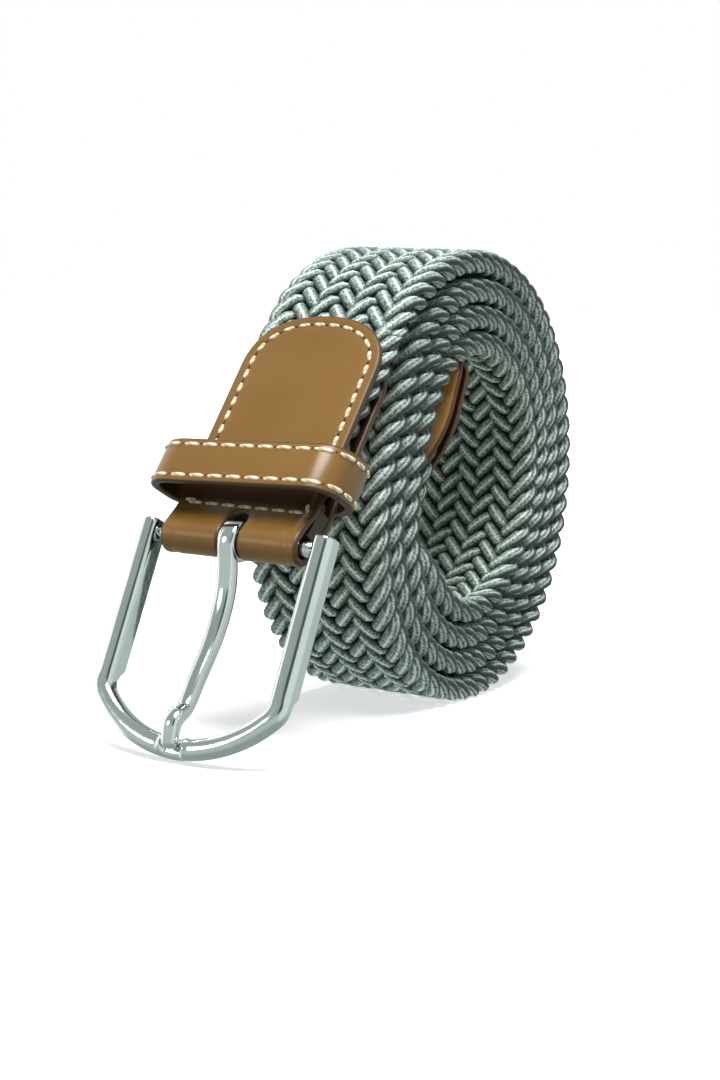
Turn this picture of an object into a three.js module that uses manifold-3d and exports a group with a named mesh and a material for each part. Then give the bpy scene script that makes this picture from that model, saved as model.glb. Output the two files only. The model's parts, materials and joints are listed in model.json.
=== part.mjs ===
// A braided stretch belt, rolled up and standing on its edge with the buckle end hanging out of the roll.
// Millimetres, +Z up. The roll's turns lie in the XZ plane, the belt's width runs along Y, and the buckle
// end leaves the roll at its upper left and hangs towards -X. The origin is the middle of the ground under it.
import * as THREE from "three";
import { mergeVertices } from "three/addons/utils/BufferGeometryUtils.js";
import Module from "manifold-3d";

const wasm = await Module();
wasm.setup();

const DEGREES = Math.PI / 180;
const ACROSS = new THREE.Vector3(0, 1, 0);

// The flat braid: its width, its thickness, and its half thickness where leather presses it.
const BRAID = { width: 35, half: 2.5, halfInTab: 1.6, halfInTip: 0.85, taper: 8, edge: 1.9, edgeInset: 0.76, edgeSteps: 2 };

// The roll: a spiral whose turns start at the upper left and run over the top.
const ROLL = {
  centreX: -1.8,
  centreZ: 49.2,
  radius: 52.1,
  pitch: 5.9,
  tallness: 0.9,
  startAngle: 142,
  lastAngle: 1320,
  step: 7.5,
};

// Where the turns leave a true spiral: the first turn stands off as it comes out of the straight tab,
// bulges a little at the lower right, and the later turns are pulled in behind the tab.
const STAND_OFF = { midRadius: 51.5, until: 75 };
const SHIFTS = [
  { amount: 0.9, at: 187, spread: 40 },
  { amount: -3, at: 347, spread: 25 },
  { amount: -3, at: 707, spread: 25 },
  { amount: -3, at: 1067, spread: 25 },
];

// The folded leather tab: two leaves over the braid's end, a neck, and a roll round the buckle's bar.
// Lengths run down from the tip of the front leaf, and heights out from its face.
const TAB = {
  tilt: 38,
  beforeRoll: 4.4,
  halfWidth: 16.5,
  leaf: 1.6,
  leafOverlap: 0.5,
  midHeight: -3.5,
  backHeight: -7,
  backStart: 3,
  roundLength: 13.9,
  roundPower: 2.3,
  braidEnd: 46.5,
  braidSteps: 3,
  neckStart: 46.8,
  neckFront: 49.5,
  neckBack: 48.5,
  barAt: 56,
  barHeight: -1.6,
  rollRadius: 3.75,
  rollFrom: -110,
  rollTo: 115,
  slotHalf: 2.55,
  slotTop: 49.5,
};

// The keeper: a leather loop sewn across the tab, whose front has slipped down against its back.
const KEEPER = {
  start: 33.7,
  end: 44.4,
  slip: 4.1,
  halfWidth: 22.4,
  back: -9.3,
  front: 7.9,
  wall: 1.9,
  frontCorner: 6,
  backCorner: 7.4,
};

// The leather end piece, folded over the free end of the braid, which leans across the roll's hollow.
const TIP = {
  lean: 23.7,
  endX: -10.3,
  endZ: 75.2,
  length: 38,
  halfWidth: 16.5,
  leaf: 1.2,
  halfThickness: 2.25,
  roundLength: 12,
  roundPower: 2.3,
  cornerRadius: 2.5,
  clearance: 0.3,
  bendStart: 8,
  bendEnd: 6,
};

// The buckle: a U-shaped frame hung on a cross bar in the tab's roll.
const FRAME = {
  tilt: 25,
  top: -2.6,
  halfWidth: 23,
  innerHalfWidth: 18.5,
  foot: 45.4,
  footRadius: 29,
  innerFootRadius: 24.7,
  shoulder: 6,
  innerShoulder: 3,
  halfDepth: 2.8,
  rounding: 2.1,
  roundingSteps: 4,
  barRadius: 1.65,
  boreRadius: 1.95,
  seatHalf: 2.15,
  seatLength: 8,
  seatFloor: 1.55,
};

// The prong's middle line in the frame's own plane: how far down from the bar, how far out, and its
// half thickness there.
const PRONG_LINE = [
  { down: 2.6, out: 0.6, half: 1.7 },
  { down: 6.6, out: -1.2, half: 1.7 },
  { down: 13.6, out: -2.0, half: 1.65 },
  { down: 20.9, out: -1.5, half: 1.6 },
  { down: 28.6, out: 0.1, half: 1.55 },
  { down: 34.6, out: 1.3, half: 1.5 },
  { down: 38.1, out: 4.4, half: 1.6 },
  { down: 42.4, out: 3.4, half: 1.45 },
];
const PRONG = { eyeRadius: 4.2, eyeHalfWidth: 2.1, tipHalfWidth: 1.65, end: 43.9, samples: 32 };

// Each arc of an outline is drawn with twice this many sides.
const ARC_DIVISIONS = 8;
const ROUND_END_SIDES = 24;

// How far a cutting solid runs past what it cuts.
const PAST = 1;

const MATERIALS = {
  braid: { color: 0x6e8078, roughness: 0.82, metalness: 0 },
  leather: { color: 0x96693a, roughness: 0.55, metalness: 0 },
  chrome: { color: 0xc9ccd0, roughness: 0.14, metalness: 1 },
};

// The plane of a flat stretch that hangs down at a tilt from upright: along runs down it, out leaves its face.
function hang(x, z, tilt) {
  const along = new THREE.Vector3(-Math.sin(tilt * DEGREES), 0, -Math.cos(tilt * DEGREES));
  const out = new THREE.Vector3(-Math.cos(tilt * DEGREES), 0, Math.sin(tilt * DEGREES));
  const origin = new THREE.Vector3(x, 0, z);
  const back = ACROSS.clone().negate();
  return {
    along,
    out,
    origin,
    side: new THREE.Matrix4().makeBasis(along, out, ACROSS).setPosition(origin),
    face: new THREE.Matrix4().makeBasis(along, back, out).setPosition(origin),
    section: new THREE.Matrix4().makeBasis(back, out, along).setPosition(origin),
    at: (down, height) => origin.clone().addScaledVector(along, down).addScaledVector(out, height),
  };
}

// A closed geometry as a solid, and back again.
function solidOf(geometry) {
  const bare = geometry.clone();
  bare.deleteAttribute("normal");
  bare.deleteAttribute("uv");
  const merged = mergeVertices(bare, 1e-4);
  const triVerts = new Uint32Array(merged.index.array);
  const vertProperties = new Float32Array(merged.attributes.position.array);
  return new wasm.Manifold(new wasm.Mesh({ numProp: 3, vertProperties, triVerts }));
}

function geometryOf(solid) {
  const mesh = solid.getMesh();
  const geometry = new THREE.BufferGeometry();
  geometry.setAttribute("position", new THREE.BufferAttribute(new Float32Array(mesh.vertProperties), 3));
  geometry.setIndex(new THREE.BufferAttribute(new Uint32Array(mesh.triVerts), 1));
  const flat = geometry.toNonIndexed();
  flat.computeVertexNormals();
  return flat;
}

// An outline as plain corners, without the doubles where its lines and arcs meet.
function corners(shape) {
  const points = shape.getPoints(ARC_DIVISIONS);
  const apart = (point, i) => point.distanceTo(points[(i + 1) % points.length]) > 0.01;
  return new THREE.Shape(points.filter(apart));
}

// A flat outline given thickness from low to high, placed by a matrix.
function slab(shape, low, high, matrix) {
  const options = { depth: high - low, bevelEnabled: false };
  const geometry = new THREE.ExtrudeGeometry(corners(shape), options);
  return solidOf(geometry.translate(0, 0, low).applyMatrix4(matrix));
}

function rectangle(x0, x1, y0, y1) {
  return new THREE.Shape([
    new THREE.Vector2(x0, y0),
    new THREE.Vector2(x1, y0),
    new THREE.Vector2(x1, y1),
    new THREE.Vector2(x0, y1),
  ]);
}

function disc(x, y, radius) {
  return new THREE.Shape().absarc(x, y, radius, 0, 2 * Math.PI);
}

// The outline of a band that follows stations, each a middle point and a half thickness.
function bandOutline(stations) {
  const last = stations.length - 1;
  const edges = stations.map((station, i) => {
    const before = stations[Math.max(i - 1, 0)].middle;
    const after = stations[Math.min(i + 1, last)].middle;
    const normal = after.clone().sub(before).normalize().rotateAround(new THREE.Vector2(), Math.PI / 2);
    return {
      left: station.middle.clone().addScaledVector(normal, station.half),
      right: station.middle.clone().addScaledVector(normal, -station.half),
    };
  });
  const rightSide = edges.map((edge) => edge.right);
  const leftSide = edges.map((edge) => edge.left).reverse();
  return new THREE.Shape([...rightSide, ...leftSide]);
}

// A leaf of leather with a round end: x from start to end, the round end at start.
function roundEndedLeaf(start, end, halfWidth, roundLength, power) {
  const points = [];
  for (let i = 0; i <= ROUND_END_SIDES; i++) {
    const angle = (Math.PI * i) / ROUND_END_SIDES;
    const c = Math.cos(angle);
    const s = Math.sin(angle);
    const y = halfWidth * Math.sign(c) * Math.pow(Math.abs(c), 2 / power);
    const x = start + roundLength * (1 - Math.pow(s, 2 / power));
    points.push(new THREE.Vector2(x, y));
  }
  points.push(new THREE.Vector2(end, -halfWidth), new THREE.Vector2(end, halfWidth));
  return new THREE.Shape(points);
}

const rollNormal = new THREE.Vector2(
  Math.cos(ROLL.startAngle * DEGREES),
  Math.sin(ROLL.startAngle * DEGREES),
);
const rollCentre = new THREE.Vector2(ROLL.centreX, ROLL.centreZ);

// The tab's plane touches the roll's first turn where the straight ends.
function tabPlane() {
  const faceDistance = STAND_OFF.midRadius - TAB.midHeight;
  const touch = rollCentre.clone().addScaledVector(rollNormal, faceDistance);
  const plane = hang(touch.x, touch.y, TAB.tilt);
  const start = plane.at(-TAB.beforeRoll, 0);
  return hang(start.x, start.z, TAB.tilt);
}

// The middle radius of the roll at a turn angle from its start.
function spiralRadius(turn) {
  const angle = (ROLL.startAngle - turn) * DEGREES;
  return ROLL.radius - BRAID.half - (ROLL.pitch * turn) / 360 - ROLL.tallness * Math.cos(2 * angle);
}

function midRadius(turn) {
  let radius = spiralRadius(turn);
  for (const shift of SHIFTS) radius += shift.amount * Math.exp(-(((turn - shift.at) / shift.spread) ** 2));
  if (turn < STAND_OFF.until) {
    const t = turn / STAND_OFF.until;
    const slope = (spiralRadius(1) - spiralRadius(0)) * STAND_OFF.until;
    const rise = STAND_OFF.midRadius - spiralRadius(0);
    radius += rise * (2 * t ** 3 - 3 * t ** 2 + 1) - slope * (t ** 3 - 2 * t ** 2 + t);
  }
  return radius;
}

function spiralPoint(turn) {
  const angle = (ROLL.startAngle - turn) * DEGREES;
  const radius = midRadius(turn);
  return new THREE.Vector2(Math.cos(angle), Math.sin(angle)).multiplyScalar(radius).add(rollCentre);
}

// The free end's plane, whose along runs up the leather end piece from its round end to its far end.
function tipPlane() {
  const lean = TIP.lean * DEGREES;
  const startX = TIP.endX - TIP.length * Math.sin(lean);
  const startZ = TIP.endZ - TIP.length * Math.cos(lean);
  return hang(startX, startZ, 180 + TIP.lean);
}

function flatten(vector) {
  return new THREE.Vector2(vector.x, vector.z);
}

// The braid's middle line from the tab's fold, round the roll and up to the free end.
function braidStations(tab, tip) {
  const stations = [];
  for (let i = 0; i < TAB.braidSteps; i++) {
    const down = TAB.braidEnd * (1 - i / TAB.braidSteps);
    stations.push({ middle: flatten(tab.at(down, TAB.midHeight)), half: BRAID.halfInTab });
  }
  for (let turn = 0; turn < ROLL.lastAngle; turn += ROLL.step) {
    const travelled = midRadius(turn) * turn * DEGREES - TAB.beforeRoll;
    const full = THREE.MathUtils.smoothstep(travelled, 0, BRAID.taper);
    const half = THREE.MathUtils.lerp(BRAID.halfInTab, BRAID.half, full);
    stations.push({ middle: spiralPoint(turn), half });
  }
  const from = spiralPoint(ROLL.lastAngle);
  const heading = from.clone().sub(spiralPoint(ROLL.lastAngle - 1)).normalize();
  const to = flatten(tip.origin);
  const bend = new THREE.CubicBezierCurve(
    from,
    from.clone().addScaledVector(heading, TIP.bendStart),
    to.clone().addScaledVector(flatten(tip.along), -TIP.bendEnd),
    to,
  );
  const bendSteps = 12;
  for (let i = 0; i <= bendSteps; i++) {
    const left = bend.getLength() * (1 - i / bendSteps);
    const full = THREE.MathUtils.smoothstep(left, 0, BRAID.taper);
    const half = THREE.MathUtils.lerp(BRAID.halfInTip, BRAID.half, full);
    stations.push({ middle: bend.getPointAt(i / bendSteps), half });
  }
  const braidEnd = TIP.length - TIP.leaf - TIP.clearance;
  for (const up of [braidEnd / 2, braidEnd]) {
    stations.push({ middle: flatten(tip.at(up, 0)), half: BRAID.halfInTip });
  }
  return stations;
}

function braidedWebbing(tab, tip) {
  const geometry = new THREE.ExtrudeGeometry(bandOutline(braidStations(tab, tip)), {
    depth: BRAID.width - 2 * BRAID.edge,
    bevelThickness: BRAID.edge,
    bevelSize: BRAID.edgeInset,
    bevelOffset: -BRAID.edgeInset,
    bevelSegments: BRAID.edgeSteps,
  });
  return geometry.translate(0, 0, BRAID.edge - BRAID.width / 2).rotateX(Math.PI / 2);
}

// The neck joins the two leaves to the roll round the bar.
function neckOutline() {
  const shape = new THREE.Shape();
  shape.moveTo(TAB.neckStart, TAB.backHeight);
  shape.lineTo(TAB.neckBack, TAB.backHeight);
  const { barAt, barHeight, rollRadius, rollFrom, rollTo } = TAB;
  shape.absarc(barAt, barHeight, rollRadius, rollFrom * DEGREES, rollTo * DEGREES, false);
  shape.lineTo(TAB.neckFront, 0);
  shape.lineTo(TAB.neckStart, 0);
  return shape;
}

function slotOutline() {
  const centre = TAB.slotTop + TAB.slotHalf;
  const shape = new THREE.Shape();
  shape.absarc(centre, 0, TAB.slotHalf, Math.PI / 2, -Math.PI / 2, false);
  shape.lineTo(TAB.barAt + 2 * TAB.rollRadius, -TAB.slotHalf);
  shape.lineTo(TAB.barAt + 2 * TAB.rollRadius, TAB.slotHalf);
  return shape;
}

function leatherTab(tab) {
  const { halfWidth, roundLength, roundPower, leaf, backHeight, neckStart } = TAB;
  const leafEnd = neckStart + TAB.leafOverlap;
  const front = roundEndedLeaf(0, leafEnd, halfWidth, roundLength, roundPower);
  const back = roundEndedLeaf(TAB.backStart, leafEnd, halfWidth, roundLength, roundPower);
  const bore = disc(TAB.barAt, TAB.barHeight, FRAME.boreRadius);
  const solid = slab(front, -leaf, 0, tab.face)
    .add(slab(back, backHeight, backHeight + leaf, tab.face))
    .add(slab(neckOutline(), -halfWidth, halfWidth, tab.side))
    .subtract(slab(bore, -2 * halfWidth, 2 * halfWidth, tab.side))
    .subtract(slab(slotOutline(), -3 * TAB.rollRadius, 3 * TAB.rollRadius, tab.face));
  return geometryOf(solid);
}

// The keeper's outline, with an inset taken off all round.
function loopOutline(inset) {
  const halfWidth = KEEPER.halfWidth - inset;
  const low = KEEPER.back + inset;
  const high = KEEPER.front - inset;
  const front = KEEPER.frontCorner - inset;
  const back = KEEPER.backCorner - inset;
  const shape = new THREE.Shape();
  shape.absarc(halfWidth - front, high - front, front, 0, Math.PI / 2, false);
  shape.absarc(-halfWidth + front, high - front, front, Math.PI / 2, Math.PI, false);
  shape.absarc(-halfWidth + back, low + back, back, Math.PI, 1.5 * Math.PI, false);
  shape.absarc(halfWidth - back, low + back, back, 1.5 * Math.PI, 2 * Math.PI, false);
  return shape;
}

function keeperLoop(tab) {
  const { start, end, slip, back, front, wall } = KEEPER;
  const slant = new THREE.Matrix4().makeShear(0, 0, 0, slip / (front - back), 0, 0);
  const settle = new THREE.Matrix4().makeTranslation(0, 0, (-slip * back) / (front - back));
  const section = tab.section.clone().multiply(settle).multiply(slant);
  const solid = slab(loopOutline(0), start, end, section).subtract(
    slab(loopOutline(wall), start - PAST, end + PAST, section),
  );
  return geometryOf(solid);
}

// A hairpin of leather: two leaves joined at the far end, seen from the side.
function hairpinOutline() {
  const { length, leaf, halfThickness } = TIP;
  const inside = halfThickness - leaf;
  const shape = new THREE.Shape();
  shape.moveTo(0, -halfThickness);
  shape.lineTo(length - halfThickness, -halfThickness);
  shape.absarc(length - halfThickness, 0, halfThickness, -Math.PI / 2, Math.PI / 2, false);
  shape.lineTo(0, halfThickness);
  shape.lineTo(0, inside);
  shape.lineTo(length - leaf, inside);
  shape.lineTo(length - leaf, -inside);
  shape.lineTo(0, -inside);
  return shape;
}

function tipFaceOutline() {
  const { length, halfWidth, cornerRadius, roundLength, roundPower } = TIP;
  const shape = roundEndedLeaf(0, length - cornerRadius, halfWidth, roundLength, roundPower);
  const rounded = new THREE.Shape(shape.getPoints().slice(0, -2));
  rounded.absarc(length - cornerRadius, -halfWidth + cornerRadius, cornerRadius, -Math.PI / 2, 0, false);
  rounded.absarc(length - cornerRadius, halfWidth - cornerRadius, cornerRadius, 0, Math.PI / 2, false);
  return rounded;
}

function leatherTip(tip) {
  const { halfWidth, halfThickness } = TIP;
  const solid = slab(hairpinOutline(), -halfWidth, halfWidth, tip.side).intersect(
    slab(tipFaceOutline(), -2 * halfThickness, 2 * halfThickness, tip.face),
  );
  return geometryOf(solid);
}

// A U in the frame's plane: two straight sides, round shoulders and a shallow round foot.
function frameOutline(top, halfWidth, shoulder, footRadius) {
  const footCentre = FRAME.foot - FRAME.footRadius;
  const shoulderY = halfWidth - shoulder;
  const shoulderX = footCentre + Math.sqrt((footRadius - shoulder) ** 2 - shoulderY ** 2);
  const turn = Math.atan2(shoulderY, shoulderX - footCentre);
  const shape = new THREE.Shape();
  shape.moveTo(top, -halfWidth);
  shape.lineTo(shoulderX, -halfWidth);
  shape.absarc(shoulderX, -shoulderY, shoulder, -Math.PI / 2, -turn, false);
  shape.absarc(footCentre, 0, footRadius, -turn, turn, false);
  shape.absarc(shoulderX, shoulderY, shoulder, turn, Math.PI / 2, false);
  shape.lineTo(top, halfWidth);
  return shape;
}

function buckleFrame(plane) {
  const { top, halfWidth, innerHalfWidth, halfDepth, rounding, foot } = FRAME;
  const outer = frameOutline(top - 2 * rounding, halfWidth, FRAME.shoulder, FRAME.footRadius);
  const inner = frameOutline(top - 2 * rounding - PAST, innerHalfWidth, FRAME.innerShoulder, FRAME.innerFootRadius);
  const plate = new THREE.ExtrudeGeometry(corners(outer), {
    depth: 2 * (halfDepth - rounding),
    bevelThickness: rounding,
    bevelSize: rounding,
    bevelOffset: -rounding,
    bevelSegments: FRAME.roundingSteps,
  });
  plate.translate(0, 0, rounding - halfDepth).applyMatrix4(plane.face);
  const ends = rectangle(top, foot + PAST, -halfWidth - PAST, halfWidth + PAST);
  const seat = rectangle(foot - FRAME.seatLength, foot + PAST, -FRAME.seatHalf, FRAME.seatHalf);
  const barHalf = (halfWidth + innerHalfWidth) / 2;
  const solid = solidOf(plate)
    .intersect(slab(ends, -2 * halfDepth, 2 * halfDepth, plane.face))
    .subtract(slab(inner, -2 * halfDepth, 2 * halfDepth, plane.face))
    .subtract(slab(seat, FRAME.seatFloor, 2 * halfDepth, plane.face))
    .add(slab(disc(0, 0, FRAME.barRadius), -barHalf, barHalf, plane.side));
  return geometryOf(solid);
}

function prongSideOutline() {
  const line = new THREE.SplineCurve(PRONG_LINE.map((row) => new THREE.Vector2(row.down, row.out)));
  const thickness = new THREE.SplineCurve(PRONG_LINE.map((row, i) => new THREE.Vector2(i, row.half)));
  const stations = [];
  for (let i = 0; i <= PRONG.samples; i++) {
    const t = i / PRONG.samples;
    stations.push({ middle: line.getPoint(t), half: thickness.getPoint(t).y });
  }
  return bandOutline(stations);
}

function prongFaceOutline() {
  const { eyeRadius, eyeHalfWidth, tipHalfWidth, end } = PRONG;
  const shape = new THREE.Shape();
  shape.moveTo(-eyeRadius - PAST, -eyeHalfWidth);
  shape.lineTo(eyeRadius, -eyeHalfWidth);
  shape.absarc(end - tipHalfWidth, 0, tipHalfWidth, -Math.PI / 2, Math.PI / 2, false);
  shape.lineTo(eyeRadius, eyeHalfWidth);
  shape.lineTo(-eyeRadius - PAST, eyeHalfWidth);
  return shape;
}

function buckleProng(plane) {
  const { eyeRadius, eyeHalfWidth, end } = PRONG;
  const last = PRONG_LINE[PRONG_LINE.length - 1];
  const solid = slab(prongSideOutline(), -eyeHalfWidth, eyeHalfWidth, plane.side)
    .add(slab(disc(0, 0, eyeRadius), -eyeHalfWidth, eyeHalfWidth, plane.side))
    .add(slab(disc(last.down, last.out, last.half), -eyeHalfWidth, eyeHalfWidth, plane.side))
    .subtract(slab(disc(0, 0, FRAME.boreRadius), -2 * eyeHalfWidth, 2 * eyeHalfWidth, plane.side))
    .intersect(slab(prongFaceOutline(), -end, end, plane.face));
  return geometryOf(solid);
}

function piece(name, geometry, look) {
  const mesh = new THREE.Mesh(geometry, new THREE.MeshStandardMaterial(MATERIALS[look]));
  mesh.name = name;
  return mesh;
}

const tab = tabPlane();
const tip = tipPlane();
const barCentre = tab.at(TAB.barAt, TAB.barHeight);
const frame = hang(barCentre.x, barCentre.z, FRAME.tilt);

const strap = new THREE.Group();
strap.add(piece("braided_webbing", braidedWebbing(tab, tip), "braid"));
strap.add(piece("leather_tab", leatherTab(tab), "leather"));
strap.add(piece("keeper_loop", keeperLoop(tab), "leather"));
strap.add(piece("leather_tip", leatherTip(tip), "leather"));

const buckle = new THREE.Group();
buckle.add(piece("buckle_frame", buckleFrame(frame), "chrome"));
buckle.add(piece("buckle_prong", buckleProng(frame), "chrome"));

// The whole belt is moved so that the origin is the middle of the ground under it.
const belt = new THREE.Group();
belt.add(strap, buckle);
const extent = new THREE.Box3().setFromObject(belt);
belt.position.set(-(extent.min.x + extent.max.x) / 2, 0, -extent.min.z);

export default belt;
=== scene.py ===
"""A braided stretch belt, rolled up with its buckle end hanging out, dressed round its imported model.

Metres, +Z up. The roll's turns lie in the XZ plane and the belt's width runs along Y.
"""

import json
import logging
import math
from dataclasses import dataclass, field
from enum import Enum
from typing import NamedTuple

import bpy
import numpy as np
from mathutils import Matrix, Vector
from mathutils.geometry import delaunay_2d_cdt


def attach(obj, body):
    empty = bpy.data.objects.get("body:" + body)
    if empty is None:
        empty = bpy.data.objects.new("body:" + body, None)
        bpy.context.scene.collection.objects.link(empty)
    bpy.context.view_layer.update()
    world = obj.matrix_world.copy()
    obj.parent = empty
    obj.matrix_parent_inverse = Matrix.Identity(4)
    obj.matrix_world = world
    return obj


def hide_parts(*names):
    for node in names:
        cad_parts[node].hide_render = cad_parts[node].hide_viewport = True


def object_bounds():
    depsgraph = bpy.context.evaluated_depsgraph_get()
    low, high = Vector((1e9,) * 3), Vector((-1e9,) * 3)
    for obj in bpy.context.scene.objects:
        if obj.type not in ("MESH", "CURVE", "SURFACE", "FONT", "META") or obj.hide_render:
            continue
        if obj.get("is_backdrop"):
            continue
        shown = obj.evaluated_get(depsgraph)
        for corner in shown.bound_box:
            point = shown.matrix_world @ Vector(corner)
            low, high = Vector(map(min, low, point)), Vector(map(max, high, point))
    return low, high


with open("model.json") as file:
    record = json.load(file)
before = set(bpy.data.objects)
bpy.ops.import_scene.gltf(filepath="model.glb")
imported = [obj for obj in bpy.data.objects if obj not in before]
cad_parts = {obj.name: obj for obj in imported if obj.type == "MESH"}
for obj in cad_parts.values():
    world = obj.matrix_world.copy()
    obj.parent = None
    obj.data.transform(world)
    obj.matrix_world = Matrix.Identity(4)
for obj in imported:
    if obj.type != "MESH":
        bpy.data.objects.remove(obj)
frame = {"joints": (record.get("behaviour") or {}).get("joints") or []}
CAD_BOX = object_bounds()

log = logging.getLogger("belt")

Rgb = tuple[float, float, float]
Span = tuple[float, float]
Direction = tuple[float, float, float]

MILLIMETRES = 1000.0
FILL_INSIDE = 2
MERGE_WITHIN = 1e-6
TRACK_STEP = 0.0002
END_STEPS = 64
LEAST_RING = 0.05


class Body(Enum):
    """The moving bodies of the belt."""

    STRAP = "strap"
    FRAME = "frame"
    PRONG = "prong"


class Slot(Enum):
    """The kinds of finish that a piece can take."""

    BRAID = "braid"
    LEATHER = "leather"
    METAL = "bright_metal"


class Wire:
    """A node socket that stands in an expression: each operator on it adds one Math node."""

    def __init__(self, nodes: "Nodes", socket: bpy.types.NodeSocket) -> None:
        """Keeps the socket and the tree that it belongs to."""
        self.nodes = nodes
        self.socket = socket

    def math(self, operation: str, *others: "Wire | float") -> "Wire":
        """Adds a Math node whose first input is this wire.

        Args:
            operation: the Math node's operation.
            others: its second and third inputs.

        Returns:
            The node's result.
        """
        values = {i: value for i, value in enumerate((self, *others))}
        node = self.nodes.add("ShaderNodeMath", {"operation": operation}, values)
        return Wire(self.nodes, node.outputs[0])

    def flipped(self, operation: str, other: float) -> "Wire":
        """Adds a Math node whose second input is this wire and whose first is a number."""
        node = self.nodes.add("ShaderNodeMath", {"operation": operation}, {0: other, 1: self})
        return Wire(self.nodes, node.outputs[0])

    def __add__(self, other: "Wire | float") -> "Wire":
        """Adds."""
        return self.math("ADD", other)

    def __radd__(self, other: float) -> "Wire":
        """Adds to a number."""
        return self.math("ADD", other)

    def __sub__(self, other: "Wire | float") -> "Wire":
        """Subtracts."""
        return self.math("SUBTRACT", other)

    def __rsub__(self, other: float) -> "Wire":
        """Subtracts from a number."""
        return self.flipped("SUBTRACT", other)

    def __mul__(self, other: "Wire | float") -> "Wire":
        """Multiplies."""
        return self.math("MULTIPLY", other)

    def __rmul__(self, other: float) -> "Wire":
        """Multiplies a number."""
        return self.math("MULTIPLY", other)

    def __truediv__(self, other: "Wire | float") -> "Wire":
        """Divides."""
        return self.math("DIVIDE", other)

    def __rtruediv__(self, other: float) -> "Wire":
        """Divides a number."""
        return self.flipped("DIVIDE", other)

    def __mod__(self, other: "Wire | float") -> "Wire":
        """What is left after whole parts, never below zero."""
        return self.math("FLOORED_MODULO", other)

    def __rmod__(self, other: float) -> "Wire":
        """What is left of a number after whole parts, never below zero."""
        return self.flipped("FLOORED_MODULO", other)

    def __pow__(self, other: "Wire | float") -> "Wire":
        """Raises to a power."""
        return self.math("POWER", other)

    def __rpow__(self, other: float) -> "Wire":
        """Raises a number to this power."""
        return self.flipped("POWER", other)

    def above(self, edge: "Wire | float") -> "Wire":
        """1 above the edge and 0 below it."""
        return self.math("GREATER_THAN", edge)

    def least(self, other: "Wire | float") -> "Wire":
        """The lower of two values."""
        return self.math("MINIMUM", other)

    def most(self, other: "Wire | float") -> "Wire":
        """The higher of two values."""
        return self.math("MAXIMUM", other)

    def sine(self) -> "Wire":
        """The sine of an angle in radians."""
        return self.math("SINE")

    def cosine(self) -> "Wire":
        """The cosine of an angle in radians."""
        return self.math("COSINE")

    def size(self) -> "Wire":
        """The value without its sign."""
        return self.math("ABSOLUTE")

    def eased(self, low: float, high: float) -> "Wire":
        """Rises smoothly from 0 at low to 1 at high."""
        values = {"Value": self, "From Min": low, "From Max": high}
        node = self.nodes.add("ShaderNodeMapRange", {"interpolation_type": "SMOOTHSTEP"}, values)
        return Wire(self.nodes, node.outputs[0])

    def lifted(self, floor: float) -> "Wire":
        """Rises from a floor to 1 as this value rises from 0 to 1."""
        return self * (1.0 - floor) + floor

    def mixed(self, other: "Wire", share: float) -> "Wire":
        """This value and another one, which has the given share of the whole."""
        return self * (1.0 - share) + other * share

    def wave(self) -> "Wire":
        """The sine of an angle in radians, brought between 0 and 1."""
        return self.sine() * 0.5 + 0.5


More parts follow.
